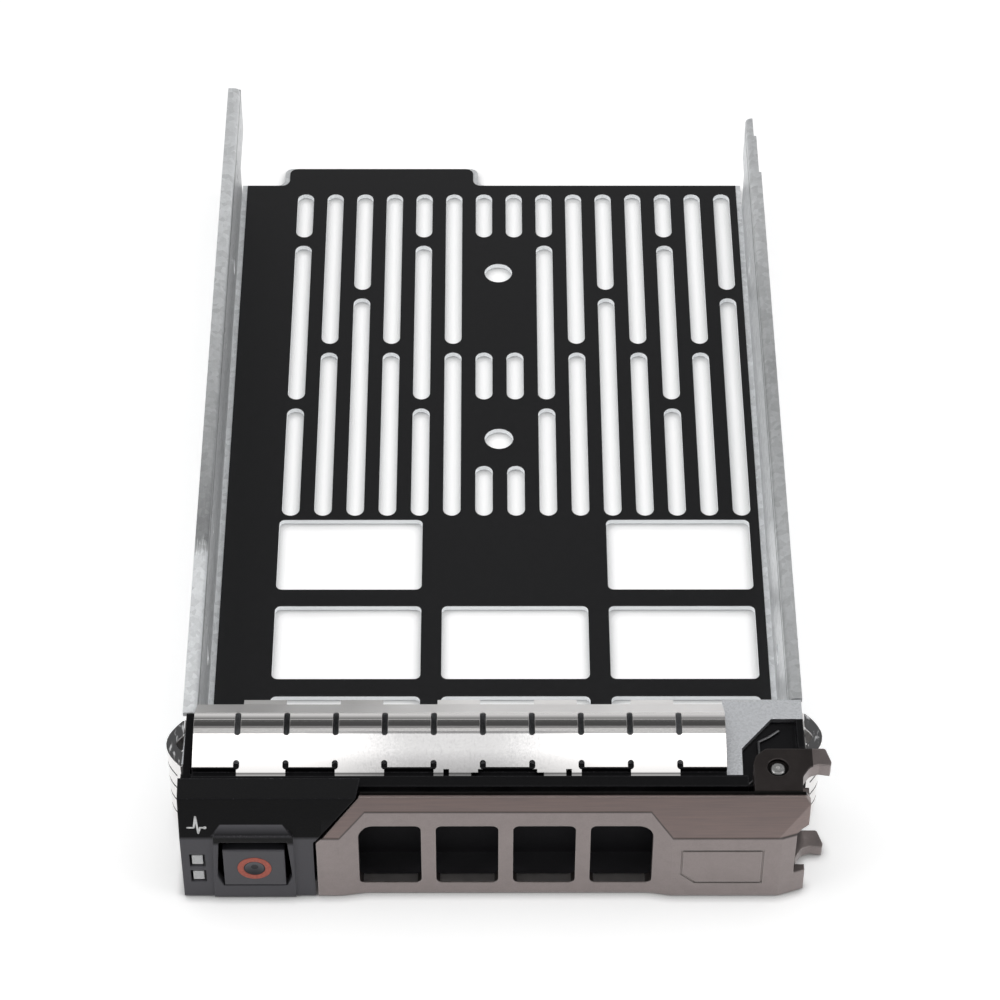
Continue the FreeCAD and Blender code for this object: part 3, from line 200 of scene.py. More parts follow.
for name, place, size, power in (
        ("overhead_softbox", (0.0, -0.0065, 1.0), (1.3, 0.713), 4.8),
        ("left_fill", (-0.8, -0.25, 0.5), (0.5, 0.5), 1.8),
        ("right_fill", (0.8, -0.25, 0.5), (0.5, 0.5), 1.5)):
    lamp_data = bpy.data.lights.new(name, "AREA")
    lamp_data.shape = "RECTANGLE"
    lamp_data.size, lamp_data.size_y = size
    lamp_data.energy = power
    lamp = bpy.data.objects.new(name, lamp_data)
    bpy.context.scene.collection.objects.link(lamp)
    lamp.location = place
    if name != "overhead_softbox":
        lamp.rotation_mode = "QUATERNION"
        lamp.rotation_quaternion = Vector(place).to_track_quat("Z", "Y")


# ------------------------------------------------------------------ tray
# Floor, rails and flanges folded from one sheet of galvanised steel and
# pierced on a press: faint spangle, rubbed streaks, worn bright edges.
def new_group(name, inputs, outputs):
    """Node group with named float or vector sockets."""
    group = bpy.data.node_groups.new(name, "ShaderNodeTree")
    for label, kind, value in inputs:
        socket = group.interface.new_socket(label, in_out="INPUT", socket_type="NodeSocket" + kind)
        if value is not None:
            socket.default_value = value
    for label, kind in outputs:
        group.interface.new_socket(label, in_out="OUTPUT", socket_type="NodeSocket" + kind)
    return group, group.nodes.new("NodeGroupInput").outputs, group.nodes.new("NodeGroupOutput").inputs


# spangle: crystal patches of zinc, each a little lighter or darker
spangle_group, given, gives = new_group(
    "zinc spangle", [("Place", "Vector", None), ("Size", "Float", 2.0)], [("Tone", "Float")])
patch = shader_node(spangle_group, "TexVoronoi", Vector=given["Place"], Randomness=1.0,
                    Scale=maths(spangle_group, "DIVIDE", 1.0, given["Size"]))
fine = shader_node(spangle_group, "TexNoise", Vector=given["Place"], Scale=1.6, Detail=4.0, Roughness=0.7)
patch_tone = shader_node(spangle_group, "SeparateColor", Color=patch.outputs["Color"]).outputs[0]
patches = product(spangle_group, patch_tone, 0.45)
crystals = product(spangle_group, fine.outputs[0], 0.55)
spangle_group.links.new(maths(spangle_group, "ADD", patches, crystals), gives["Tone"])

# rubbed streaks: fine scratches along one direction
streak_group, given, gives = new_group(
    "rubbed streaks",
    [("Place", "Vector", None), ("Stretch", "Vector", (8.0, 0.25, 8.0)), ("Threshold", "Float", 0.6)],
    [("Streaks", "Float"), ("Height", "Float")])
stretched = shader_node(streak_group, "VectorMath", operation="MULTIPLY")
streak_group.links.new(given["Place"], stretched.inputs[0])
streak_group.links.new(given["Stretch"], stretched.inputs[1])
rub = shader_node(streak_group, "TexNoise", Vector=stretched.outputs[0], Scale=1.0, Detail=3.0, Roughness=0.6)
streak_group.links.new(rub.outputs[0], gives["Height"])
over = maths(streak_group, "SUBTRACT", rub.outputs[0], given["Threshold"])
streak_group.links.new(maths(streak_group, "MULTIPLY", over, 9.0, clamp=True), gives["Streaks"])

# broken edges: the small radius that deburring leaves, and where it shows
edge_group, given, gives = new_group(
    "broken edges", [("Radius", "Float", 0.0002)], [("Normal", "Vector"), ("Edge", "Float")])
rounded = shader_node(edge_group, "Bevel", samples=6, Radius=given["Radius"])
flat = shader_node(edge_group, "NewGeometry").outputs["Normal"]
facing = shader_node(edge_group, "VectorMath", operation="DOT_PRODUCT")
edge_group.links.new(rounded.outputs[0], facing.inputs[0])
edge_group.links.new(flat, facing.inputs[1])
edge_group.links.new(fade(edge_group, facing.outputs["Value"], 1.0, 0.8), gives["Edge"])
edge_group.links.new(rounded.outputs[0], gives["Normal"])


def placed_group(tree, group, **values):
    """Places a node group, filling or linking its inputs."""
    made = tree.nodes.new("ShaderNodeGroup")
    made.node_tree = group
    for name, value in values.items():
        if isinstance(value, bpy.types.NodeSocket):
            tree.links.new(value, made.inputs[name])
        else:
            made.inputs[name].default_value = value
    return made.outputs


def new_finish(name, colour, roughness, metallic=0.0, specular=0.5):
    """Material, its nodes, its shader and its object's coordinates in millimetres."""
    material = bpy.data.materials.new(name)
    material.use_nodes = True
    tree = material.node_tree
    shader = tree.nodes["Principled BSDF"]
    shader.inputs["Base Color"].default_value = (*colour, 1)
    shader.inputs["Roughness"].default_value = roughness
    shader.inputs["Metallic"].default_value = metallic
    shader.inputs["Specular IOR Level"].default_value = specular
    coordinates = shader_node(tree, "TexCoord").outputs["Object"]
    millimetres = shader_node(tree, "Mapping", Vector=coordinates, Scale=(1000, 1000, 1000))
    return material, tree, shader, millimetres.outputs[0]


def axes(tree, place):
    """The three coordinates of a place."""
    split = shader_node(tree, "SeparateXYZ", Vector=place)
    return [split.outputs[axis] for axis in "XYZ"]


def away(tree, value, centre):
    """How far a coordinate lies from a centre."""
    return maths(tree, "ABSOLUTE", maths(tree, "SUBTRACT", value, centre))


def within(tree, value, centre, reach):
    """Mask of the places nearer than reach to a centre."""
    return maths(tree, "LESS_THAN", away(tree, value, centre), reach)


def relief(tree, shader, height, strength, depth, radius=0.0002):
    """Bump over the broken edges; returns the edge mask."""
    edges = placed_group(tree, edge_group, Radius=radius)
    bump = shader_node(tree, "Bump", Strength=strength, Distance=depth, Height=height,
                       Normal=edges["Normal"])
    tree.links.new(bump.outputs[0], shader.inputs["Normal"])
    return edges["Edge"]


def roughened(tree, shader, texture, gain, least):
    """Roughness that follows a texture, from least upwards."""
    tree.links.new(scaled(tree, texture, gain, least), shader.inputs["Roughness"])


def dress(name, material):
    """Gives a piece's faces a finish."""
    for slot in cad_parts[name].material_slots:
        slot.material = material


# places on the tray, in millimetres
tray_rear, tray_front = 100.0, -100.0
flange_foot, flange_top = 19.6, 20.1
bend_height, bend_reach = 18.4, 1.0
floor_half_width, floor_top = 49.0, 0.98
galvanised, tree, shader, place = new_finish(
    "galvanised_steel", (0.6, 0.62, 0.64), roughness=0.4, metallic=0.45)
spangle = placed_group(tree, spangle_group, Place=place, Size=1.1)["Tone"]
streaks = placed_group(tree, streak_group, Place=place, Stretch=(5.0, 0.22, 5.0), Threshold=0.64)
edge = relief(tree, shader, streaks["Height"], strength=0.2, depth=0.00004, radius=0.00015)
# the left flange is scraped bright near the front and darker behind it; along both flanges the tone rises and
# falls as painted light, lighter again towards the rear; walls and foot keep one tone each
x, y, z = axes(tree, place)
ragged = scaled(tree, streaks["Height"], 0.05, -0.025)
along = maths(tree, "ADD", fade(tree, y, tray_front, tray_rear), ragged)
left = graded(tree, along, (0.20, 0.82), (0.305, 0.88), (0.325, 0.28), (0.44, 0.43), (0.55, 0.52),
              (0.76, 0.72))
right = graded(tree, along, (0.12, 0.44), (0.3, 0.54), (0.45, 0.47), (0.55, 0.42), (0.76, 0.6))
on_right = maths(tree, "GREATER_THAN", x, 0.0)
flange_tone_and_light = mixed(tree, on_right, left, right)
# painted shade: the left wall a little darker than the right
wall_tone_and_shade = scaled(tree, on_right, 0.13, 0.72)
on_flange = fade(tree, z, flange_foot, flange_top)
on_wall = maths(tree, "SUBTRACT", 1.0, on_flange)
tone = maths(tree, "ADD", product(tree, flange_tone_and_light, on_flange), product(tree, wall_tone_and_shade, on_wall))
# painted shade: a dark line along the bend under each flange; and the bare sheared edges in the floor,
# lightened near white as painted reflection of the white floor
bend_shade = fade(tree, away(tree, z, bend_height), bend_reach, 0.0)
tone = product(tree, tone, scaled(tree, bend_shade, -0.75, 1.0), scaled(tree, spangle, 0.5, 0.75))
sheared_and_reflection = product(tree, within(tree, x, 0.0, floor_half_width), maths(tree, "LESS_THAN", z, floor_top))
bright = largest(tree, product(tree, streaks["Streaks"], 0.35), product(tree, edge, 0.5))
tone = largest(tree, tone, product(tree, sheared_and_reflection, 0.95))
tone = maths(tree, "ADD", tone, product(tree, bright, 0.3), clamp=True)
tree.links.new(graded(tree, tone, (0.0, (0.0, 0.0, 0.0)), (1.0, (0.965, 0.985, 1.0))),
               shader.inputs["Base Color"])
roughened(tree, shader, spangle, -0.1, 0.5)
dress("tray", galvanised)


# ------------------------------------------------------------------ insulating film
# Thin black polyester film stuck to the floor of the tray, die-cut with the
# same openings: satin, with a very slight orange peel.
film_finish, tree, shader, place = new_finish(
    "black_film", (0.0085, 0.0085, 0.0095), roughness=0.3, specular=0.35)
peel = shader_node(tree, "TexNoise", Vector=place, Scale=0.9, Detail=3.0).outputs[0]
relief(tree, shader, peel, strength=0.12, depth=0.00006, radius=0.0001)
roughened(tree, shader, peel, 0.1, 0.26)
dress("insulating_film", film_finish)


# ------------------------------------------------------------------ cross member
# Folded galvanised plate across the front, riveted to the floor.  It was
# ground after folding, so its corner shows finer streaks than the tray.
ground, tree, shader, place = new_finish(
    "ground_galvanised_steel", (0.6, 0.62, 0.64), roughness=0.4, metallic=1.0)
spangle = placed_group(tree, spangle_group, Place=place, Size=0.3)["Tone"]
streaks = placed_group(tree, streak_group, Place=place, Stretch=(6.0, 0.8, 6.0), Threshold=0.6)
relief(tree, shader, streaks["Height"], strength=0.3, depth=0.00004, radius=0.00015)
tree.links.new(graded(tree, spangle, (0.3, (0.60, 0.615, 0.635)), (0.7, (0.73, 0.745, 0.77))),
               shader.inputs["Base Color"])
roughened(tree, shader, spangle, -0.2, 0.58)
dress("front_cross_member", ground)

# plain steel rivets
rivet_steel, tree, shader, place = new_finish(
    "rivet_steel", (0.58, 0.58, 0.59), roughness=0.35, metallic=1.0)
dents = shader_node(tree, "TexNoise", Vector=place, Scale=2.5, Detail=3.0).outputs[0]
relief(tree, shader, dents, strength=0.3, depth=0.0001)
roughened(tree, shader, dents, 0.3, 0.25)
dress("cross_member_rivets", rivet_steel)


# ------------------------------------------------------------------ bezel
# Black glass-filled moulding with a fine spark-eroded texture: it carries
# the button, the lenses, the shields and the handle's pin.
spark_group, given, gives = new_group(
    "spark texture", [("Place", "Vector", None), ("Grain", "Float", 0.22)],
    [("Height", "Float"), ("Glint", "Float")])
pits = shader_node(spark_group, "TexNoise", Vector=given["Place"], Detail=2.0, Roughness=0.5,
                   Scale=maths(spark_group, "DIVIDE", 1.0, given["Grain"])).outputs[0]
spark_group.links.new(pits, gives["Height"])
spark_group.links.new(fade(spark_group, pits, 0.56, 0.7267), gives["Glint"])

# places on the bezel, in millimetres
slope_y, face_y, hood_y = -96.833, -97.667, -98.85
crease_top, crease_foot, hood_rise = 16.273, 15.364, 1.25
hood_x, hood_base, hood_narrowing, hood_top = -40.8, 18.0, -0.667, 18.95
brow_foot, brow_head, ridge_height, ridge_reach = 16.73, 18.65, 16.682, 0.4545
lens_x, lens_reach = -50.275, 1.34
shaded_lens_mouths = ((9.8, 1.62), (5.525, 1.55))
ports_x, beam_top = -29.0, 20.0
moulding, tree, shader, place = new_finish(
    "black_moulding", (0.014, 0.014, 0.0165), roughness=0.42, specular=0.1)
spark = placed_group(tree, spark_group, Place=place, Grain=0.22)
edge = relief(tree, shader, spark["Height"], strength=0.55, depth=0.00005, radius=0.0004)
# painted reflection: its flat front below the crease is lightened to grey, as it mirrors the bright floor,
# and the hood's upper facet a little lighter as painted light; the slope and top stay black
x, y, z = axes(tree, place)
front = fade(tree, y, slope_y, face_y)
on_hood = maths(tree, "LESS_THAN", y, hood_y)
low = fade(tree, scaled(tree, on_hood, hood_rise, z), crease_top, crease_foot)
half_hood = scaled(tree, z, hood_narrowing, hood_base)
beside_hood = maths(tree, "SUBTRACT", half_hood, away(tree, x, hood_x))
proud = product(tree, fade(tree, beside_hood, 0.0, 0.25), maths(tree, "LESS_THAN", z, hood_top))
lit_hood_slope = product(tree, fade(tree, z, brow_foot, brow_head), proud)
reflection_grey = product(tree, largest(tree, low, lit_hood_slope), front)
# painted shade: dark mouths round the two lenses, where the grey is left off
beside_lens = within(tree, x, lens_x, lens_reach)
for mouth_height, mouth_reach in shaded_lens_mouths:
    mouth_shade = product(tree, within(tree, z, mouth_height, mouth_reach), beside_lens)
    reflection_grey = product(tree, reflection_grey, maths(tree, "SUBTRACT", 1.0, mouth_shade))
# painted highlights: glints along the edges of the brow, the hood and the beam, and a bright line along the
# hood's shoulder
edge_highlight = product(tree, edge, scaled(tree, spark["Glint"], 0.9, 0.25))
ridge_highlight = fade(tree, away(tree, z, ridge_height), ridge_reach, 0.0)
ridge_highlight = product(tree, ridge_highlight, proud, scaled(tree, spark["Glint"], 0.5, 0.4))
tone = largest(tree, product(tree, reflection_grey, 0.85), product(tree, ridge_highlight, front))
tone = maths(tree, "ADD", tone, product(tree, edge_highlight, 0.6), clamp=True)
# the wall behind the handle's ports is plain and a little lighter, with painted shade: lighter low down and
# darker towards the top
port_wall_light = product(tree, maths(tree, "GREATER_THAN", x, ports_x), maths(tree, "LESS_THAN", z, beam_top))
tone = largest(tree, tone, product(tree, port_wall_light, scaled(tree, z, -0.012, 0.26)))
tone = maths(tree, "ADD", tone, product(tree, spark["Glint"], 0.025))
tree.links.new(graded(tree, tone, (0.0, (0.0032, 0.0032, 0.0038)), (1.0, (0.135, 0.133, 0.146))),
               shader.inputs["Base Color"])
roughened(tree, shader, spark["Height"], 0.25, 0.3)
dress("bezel", moulding)

# small self-tapping screws of dark zinc
screw_zinc, tree, shader, place = new_finish(
    "dark_zinc", (0.24, 0.24, 0.25), roughness=0.4, metallic=1.0)
wear = shader_node(tree, "TexNoise", Vector=place, Scale=3.0, Detail=4.0).outputs[0]
relief(tree, shader, wear, strength=0.2, depth=0.00005)
roughened(tree, shader, wear, 0.3, 0.28)
dress("bezel_screws", screw_zinc)

# activity sign pad-printed in white on the slope beside the button
slope_foot, slope_head = Vector((0, -0.0987, 0.0161)), Vector((0, -0.0971, 0.0246))
slope_up = (slope_head - slope_foot).normalized()
slope_out = Vector((1, 0, 0)).cross(slope_up)
line_width, last_dot, ink_height = 0.00034, 0.000323, 0.00002
trace = [(-51.5, 18.3), (-50.45, 18.3), (-50.1, 20.7), (-49.72, 17.1), (-49.4, 18.3), (-48.6, 18.3)]


def on_slope(x, z):
    """A place on the printed slope, a hair proud of it."""
    along = (z / 1000 - slope_foot.z) / slope_up.z
    return Vector((x / 1000, slope_foot.y, slope_foot.z)) + slope_up * along + slope_out * ink_height


def lying(right, up, out, centre):
    """Matrix that lays a flat shape at centre, along the given directions."""
    basis = Matrix((right, up, out)).transposed().to_4x4()
    basis.translation = centre
    return basis


sign = bmesh.new()
corners = [on_slope(x, z) for x, z in trace]
for start, end in zip(corners, corners[1:]):
    run = end - start
    across = slope_out.cross(run).normalized()
    laid = lying(run.normalized(), across, slope_out, (start + end) / 2)
    bmesh.ops.create_grid(sign, x_segments=1, y_segments=1, size=0.5,
                          matrix=laid @ Matrix.Diagonal((run.length, line_width, 1, 1)))
dots = [line_width / 2] * (len(corners) - 1) + [last_dot]
for corner, radius in zip(corners, dots):
    laid = lying(slope_up.cross(slope_out), slope_up, slope_out, corner)
    bmesh.ops.create_circle(sign, cap_ends=True, segments=12, radius=radius, matrix=laid)
bmesh.ops.recalc_face_normals(sign, faces=sign.faces)
for face in sign.faces:
    if face.normal.dot(slope_out) < 0:
        face.normal_flip()
activity_sign = new_object("activity_sign", sign)
print_white, tree, shader, place = new_finish("white_pad_print", (0.62, 0.62, 0.64), roughness=0.5)
ink = shader_node(tree, "TexNoise", Vector=place, Scale=5.0, Detail=2.0).outputs[0]
tree.links.new(graded(tree, ink, (0.35, 0.8), (0.6, 0.92)), shader.inputs["Base Color"])
activity_sign.data.materials.append(print_white)
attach(activity_sign, "carrier")


# ------------------------------------------------------------------ release button
# Dark grey moulded button that slides in the raised frame, with a coloured
# ring pressed into its face round a low domed boss.
# places on the button, in millimetres
boss_x, _, boss_z = (sum(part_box("button_ring"), Vector()) / 2) * 1000
boss_radius, dome_radius, button_face_y = 1.95, 1.62, -98.7
dome_dark, dome_lit = 6.47, 9.41
button_plastic, tree, shader, place = new_finish(
    "button_moulding", (0.026, 0.026, 0.029), roughness=0.4, specular=0.2)
spark = placed_group(tree, spark_group, Place=place, Grain=0.16)
relief(tree, shader, spark["Height"], strength=0.3, depth=0.00003, radius=0.0003)
# painted light: the boss is lighter on its upper half, and only the front face is lightened to grey; the
# sides and top in the frame stay black as painted shade
x, y, z = axes(tree, place)
from_boss = shader_node(tree, "CombineXYZ", X=away(tree, x, boss_x), Z=away(tree, z, boss_z)).outputs[0]
radius = shader_node(tree, "VectorMath", operation="LENGTH", Vector=from_boss).outputs["Value"]
on_boss = maths(tree, "LESS_THAN", radius, boss_radius)
dome_light = product(tree, fade(tree, z, dome_dark, dome_lit), maths(tree, "LESS_THAN", radius, dome_radius), 1.3)
round_boss = product(tree, maths(tree, "SUBTRACT", 1.0, on_boss), 0.82)
tone = maths(tree, "ADD", product(tree, on_boss, dome_light), round_boss)
tone = product(tree, scaled(tree, spark["Glint"], 0.12, tone), maths(tree, "LESS_THAN", y, button_face_y))
tree.links.new(graded(tree, tone, (0.0, (0.035, 0.035, 0.04)), (1.0, (0.125, 0.123, 0.135))),
               shader.inputs["Base Color"])
dress("release_button", button_plastic)

ring_plastic, tree, shader, place = new_finish("terracotta_plastic", (0.5, 0.085, 0.045), roughness=0.38)
shade = shader_node(tree, "TexNoise", Vector=place, Scale=2.2, Detail=3.0).outputs[0]
relief(tree, shader, shade, strength=0.15, depth=0.00003, radius=0.00015)
tree.links.new(graded(tree, shade, (0.3, (0.42, 0.07, 0.04)), (0.7, (0.56, 0.11, 0.06))),
               shader.inputs["Base Color"])
dress("button_ring", ring_plastic)


# ------------------------------------------------------------------ latch
# Acetal slider behind the button, pushed back by a spring of round wire.  The wire is drawn bright and coiled
# cold.
acetal, tree, shader, place = new_finish("black_acetal", (0.02, 0.02, 0.021), roughness=0.33)
flow = shader_node(tree, "TexNoise", Vector=place, Scale=1.2, Detail=3.0).outputs[0]
relief(tree, shader, flow, strength=0.12, depth=0.00004)
roughened(tree, shader, flow, 0.2, 0.25)
dress("latch_slider", acetal)

spring_steel, tree, shader, place = new_finish(
    "spring_wire", (0.14, 0.14, 0.145), roughness=0.28, metallic=1.0)
drawn = placed_group(tree, streak_group, Place=place, Stretch=(7.0, 7.0, 7.0), Threshold=0.58)
relief(tree, shader, drawn["Height"], strength=0.15, depth=0.00002)
roughened(tree, shader, drawn["Height"], 0.25, 0.18)
dress("handle_torsion_spring", spring_steel)

# the coil is one turn of the wire's section after another, closed at both ends
low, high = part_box("latch_spring")
middle = (low + high) / 2
wire_radius, turns, steps_a_turn = 0.0002, 6, 24
coil_radius = (high.z - low.z) / 2 - wire_radius
pitch = (high.x - low.x - 2 * wire_radius) / turns
coil = bmesh.new()
section = bmesh.ops.create_circle(coil, segments=10, radius=wire_radius)["verts"]
start = Vector((low.x + wire_radius, middle.y, middle.z))
bmesh.ops.translate(coil, vec=start + Vector((0, coil_radius, 0)), verts=section)
bmesh.ops.spin(coil, geom=coil.edges[:], cent=start, axis=(1, 0, 0), angle=2 * math.pi * turns,
               dvec=(pitch / steps_a_turn, 0, 0), steps=turns * steps_a_turn)
bmesh.ops.holes_fill(coil, edges=coil.edges[:], sides=0)
bmesh.ops.recalc_face_normals(coil, faces=coil.faces)
latch_coil = new_object("latch_coil_spring", coil)
latch_coil.data.shade_smooth()
latch_coil.data.materials.append(spring_steel)
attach(latch_coil, "carrier")
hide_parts("latch_spring")
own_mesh(latch_coil)


# ------------------------------------------------------------------ ejector handle
# Zinc die casting with a taupe metallic coat: fine flakes, and painted highlights along the edges.
# places on the handle, in millimetres; the crease climbs to a middle run and falls again
crease_low, crease_high = 16.0, 21.5
crease_rise, rise_height, crease_fall, fall_height = 1.25, 48.6, -1.447, 60.0
front_y, lip_y, lip_reach, inner_y = -95.2, -95.925, 0.525, -95.4
top_height, inner_end_x = 24.3, 54.0
sill_height, sill_reach, sill_front_y, last_port_x = 2.6, 0.1, -97.7, 26.0
pin_x, pin_y, _ = (sum(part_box("pivot_pin"), Vector()) / 2) * 1000
pin_hole_radius = 1.84
coat, tree, shader, place = new_finish(
    "taupe_metallic_coat", (0.25, 0.215, 0.205), roughness=0.34, metallic=1.0)
flakes = shader_node(tree, "TexVoronoi", Vector=place, Scale=9.0)
flake = shader_node(tree, "SeparateColor", Color=flakes.outputs["Color"]).outputs[0]
cloud = shader_node(tree, "TexNoise", Vector=place, Scale=0.5, Detail=4.0).outputs[0]
edge = relief(tree, shader, scaled(tree, flake, 0.4, cloud), strength=0.14, depth=0.00004, radius=0.00035)
tone = maths(tree, "ADD", product(tree, flake, 0.35), product(tree, cloud, 0.65))
base = graded(tree, tone, (0.25, (0.235, 0.204, 0.199)), (0.75, (0.275, 0.240, 0.234)))
# painted shade: above the crease and round the sunk panel the coat is darker and browner, in brushed streaks
x, y, z = axes(tree, place)
rising, falling = scaled(tree, x, crease_rise, rise_height), scaled(tree, x, crease_fall, fall_height)
crease_ends = maths(tree, "MINIMUM", rising, falling)
crease = maths(tree, "MAXIMUM", maths(tree, "MINIMUM", crease_ends, crease_high), crease_low)
over = maths(tree, "SUBTRACT", z, crease)
outside = maths(tree, "LESS_THAN", y, front_y)
leaning_shade = product(tree, fade(tree, over, -0.125, 0.125), outside)
brushed = placed_group(tree, streak_group, Place=place, Stretch=(0.12, 3.0, 3.0), Threshold=0.5)
shaded_brown = graded(tree, brushed["Height"], (0.3, (0.205, 0.166, 0.160)), (0.7, (0.243, 0.189, 0.176)))
# painted shade: dark in the crease, in the gap round the pin and on the flat tops
crease_shade = product(tree, fade(tree, away(tree, over, -0.12), 0.5435, 0.1087), outside)
from_pin = shader_node(tree, "CombineXYZ", X=away(tree, x, pin_x), Y=away(tree, y, pin_y)).outputs[0]
pin_distance = shader_node(tree, "VectorMath", operation="LENGTH", Vector=from_pin).outputs["Value"]
pin_gap_shade = maths(tree, "LESS_THAN", pin_distance, pin_hole_radius)
top = maths(tree, "GREATER_THAN", z, top_height)
lip_shade = product(tree, top, within(tree, y, lip_y, lip_reach))
inner = product(tree, maths(tree, "GREATER_THAN", y, inner_y), maths(tree, "LESS_THAN", x, inner_end_x))
painted_shade = largest(tree, product(tree, crease_shade, 0.85), pin_gap_shade, lip_shade, product(tree, inner, top, 0.8))
# painted highlight: a bright line along the sills of the ports
sill_highlight = product(tree, within(tree, z, sill_height, sill_reach),
               maths(tree, "GREATER_THAN", y, sill_front_y), maths(tree, "LESS_THAN", x, last_port_x))
colour = mixed(tree, leaning_shade, base, shaded_brown)
# painted highlight: the coat lightened along the edges
colour = mixed(tree, product(tree, edge, 0.5), colour, (0.46, 0.43, 0.41, 1))
colour = mixed(tree, painted_shade, colour, (0.012, 0.0105, 0.01, 1))
colour = mixed(tree, sill_highlight, colour, (0.8, 0.76, 0.74, 1))
tree.links.new(colour, shader.inputs["Base Color"])
roughened(tree, shader, cloud, 0.1, 0.27)
dress("ejector_handle", coat)

# bright turned pin, centre-punched
pin_steel, tree, shader, place = new_finish(
    "turned_pin_steel", (0.42, 0.42, 0.415), roughness=0.28, metallic=1.0)
turned = shader_node(tree, "TexNoise", Vector=place, Scale=4.0, Detail=3.0).outputs[0]
relief(tree, shader, turned, strength=0.2, depth=0.00003)
roughened(tree, shader, turned, 0.25, 0.2)
dress("pivot_pin", pin_steel)


# ------------------------------------------------------------------ shields
# Stainless spring strip pierced into fingers, clipped over the bezel's top and
# ends.  It is rolled bright, and the middle fingers are scuffed by use.
# places on the strip, in millimetres
tongue_y, apron_y, rear_bend_y, rear_edge_y = -94.0, -83.3, -79.44, -79.04
strip_end_y, scuffed_x, scuff_none, scuff_full = -74.0, -7.0, 26.0, 6.0
left_none_x, left_full_x = -4.0, -24.0
stainless, tree, shader, place = new_finish(
    "bright_stainless", (0.78, 0.77, 0.76), roughness=0.12, metallic=1.0)
scuff = shader_node(tree, "TexNoise", Vector=place, Scale=2.4, Detail=6.0, Roughness=0.75).outputs[0]
streaks = placed_group(tree, streak_group, Place=place, Stretch=(3.0, 1.0, 0.5), Threshold=0.55)
scratched = maths(tree, "ADD", scuff, streaks["Height"])
relief(tree, shader, scratched, strength=0.07, depth=0.00004, radius=0.0001)
# handled most in the middle; the tongues and the fold behind the crown carry painted shade, and the rear edge
# is matt
x, y, z = axes(tree, place)
handled = fade(tree, away(tree, x, scuffed_x), scuff_none, scuff_full)
handled = product(tree, handled, maths(tree, "LESS_THAN", y, apron_y))
dull = product(tree, handled, scaled(tree, scuff, 0.5, scaled(tree, streaks["Streaks"], 0.1, 0.27)))
bare = graded(tree, dull, (0.0, (0.80, 0.785, 0.775)), (0.45, (0.42, 0.415, 0.415)),
              (0.7, (0.35, 0.345, 0.345)))
# painted shade from the tongues' tips over their fold line and the crown to the rear edge: darker over the
# tongues, with dark lines at the fold and behind the crown
shading = graded(tree, fade(tree, y, tongue_y, strip_end_y),
                 (0.10, 0.36), (0.135, 0.27), (0.148, 0.08), (0.158, 0.6), (0.24, 0.72), (0.36, 1.0),
                 (0.66, 1.0), (0.668, 0.22), (0.69, 0.6), (0.715, 1.0))
# the rear edge turns down, is matt, and darker towards the left
rear = fade(tree, y, rear_bend_y, rear_edge_y)
to_left = product(tree, rear, fade(tree, x, left_none_x, left_full_x))
shading = product(tree, shading, scaled(tree, to_left, -0.5, 1.0))
tree.links.new(mixed(tree, 1.0, bare, shading, blend_type="MULTIPLY"), shader.inputs["Base Color"])
tree.links.new(scaled(tree, rear, -0.85, 1.0), shader.inputs["Metallic"])
roughened(tree, shader, rear, 0.3, scaled(tree, dull, 0.12, 0.08))
for name in ("top_emi_shield", "left_emi_spring", "right_emi_spring"):
    dress(name, stainless)


def thickened(mesh, thickness):
    """Gives a flat shape its thickness, downwards."""
    lower = bmesh.ops.extrude_face_region(mesh, geom=mesh.faces[:], use_keep_orig=True)
    below = [corner for corner in lower["geom"] if isinstance(corner, bmesh.types.BMVert)]
    bmesh.ops.translate(mesh, vec=(0, 0, -thickness), verts=below)
    bmesh.ops.recalc_face_normals(mesh, faces=mesh.faces)


# the uppermost finger of each side spring is folded flat into a ring, darkened as painted reflection of the
# dark room, with bright streaks as painted highlights
ring_painted_light, tree, shader, place = new_finish(
    "spring_ring_painted_light", (0.2, 0.2, 0.2), roughness=0.5, metallic=0.8)
rubs_and_highlights = placed_group(tree, streak_group, Place=place, Stretch=(1.5, 0.4, 1.0), Threshold=0.56)
bump = shader_node(tree, "Bump", Strength=0.4, Distance=0.00005, Height=rubs_and_highlights["Height"])
tree.links.new(bump.outputs[0], shader.inputs["Normal"])
tree.links.new(graded(tree, rubs_and_highlights["Streaks"], (0.0, (0.10, 0.10, 0.102)), (1.0, (0.7, 0.7, 0.71))),
               shader.inputs["Base Color"])
ring_length, ring_top, ring_thickness = 0.0097, 0.02095, 0.00015
outer_gap, outer_bulge, inner_gap, inner_bulge = 0.0004, 0.0025, 0.0002, 0.0012
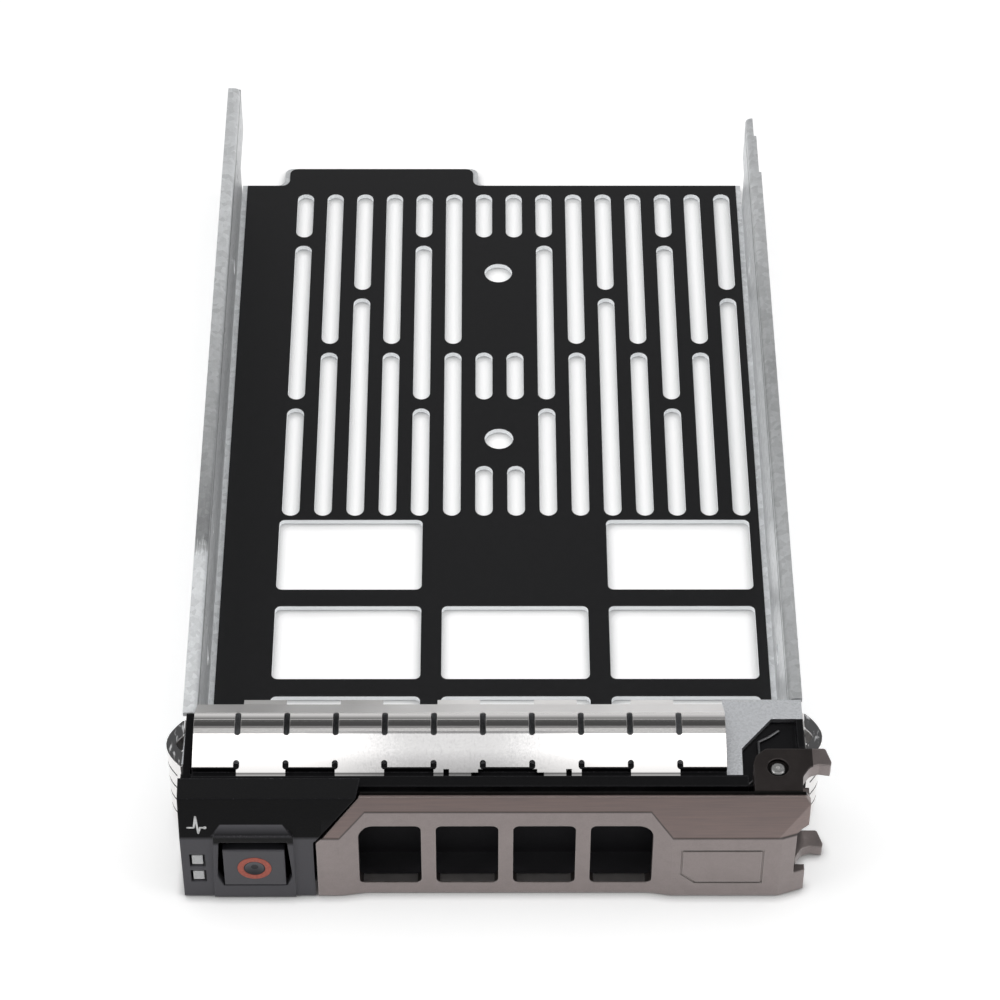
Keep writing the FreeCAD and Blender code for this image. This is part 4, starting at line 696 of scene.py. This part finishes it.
hole_start, hole_length = 0.3, 0.38
for side, name, ring_x, ring_y in ((-1, "left_spring_ring", 0.0528, -0.0869),
                                   (1, "right_spring_ring", 0.0533, -0.0854)):
    ring = bmesh.new()
    bmesh.ops.create_grid(ring, x_segments=1, y_segments=24, size=0.5)
    for corner in ring.verts:
        along = corner.co.y + 0.5
        in_hole = min(max((along - hole_start) / hole_length, 0), 1)
        outer = ring_x + outer_gap + outer_bulge * max(math.sin(math.pi * along), 0) ** 0.9
        inner = ring_x + inner_gap + inner_bulge * math.sin(math.pi * in_hole)
        corner.co = (side * (outer if corner.co.x > 0 else inner), ring_y + ring_length * along, ring_top)
    thickened(ring, ring_thickness)
    cap = new_object(name, ring)
    cap.data.materials.append(ring_painted_light)
    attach(cap, "carrier")

# the left spring's clip laps over the rim of the arm
clip_x, clip_y, clip_top = -0.0530, -0.0869, 0.02115
clip_width, clip_length, clip_skew, clip_thickness = 0.0006, 0.0101, 0.0004, 0.0002
clip = bmesh.new()
bmesh.ops.create_grid(clip, x_segments=1, y_segments=1, size=0.5)
for corner in clip.verts:
    along, across = corner.co.y + 0.5, corner.co.x + 0.5
    corner.co = (clip_x + clip_skew * along + clip_width * across, clip_y + clip_length * along, clip_top)
thickened(clip, clip_thickness)
left_clip = new_object("left_spring_clip", clip)
left_clip.data.materials.append(ground)
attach(left_clip, "carrier")


# ------------------------------------------------------------------ light pipes
# Clear acrylic bars staked along the left rail; their front ends are the
# two frosted lenses beside the button.
acrylic, tree, shader, place = new_finish("clear_acrylic", (0.62, 0.63, 0.64), roughness=0.2)
haze = shader_node(tree, "TexNoise", Vector=place, Scale=2.0, Detail=3.0).outputs[0]
relief(tree, shader, haze, strength=0.1, depth=0.00004, radius=0.00015)
tree.links.new(graded(tree, haze, (0.3, (0.78, 0.785, 0.79)), (0.7, (0.9, 0.905, 0.91))),
               shader.inputs["Base Color"])
shader.inputs["Transmission Weight"].default_value = 0.2
for name in ("light_pipe_upper", "light_pipe_lower"):
    dress(name, acrylic)
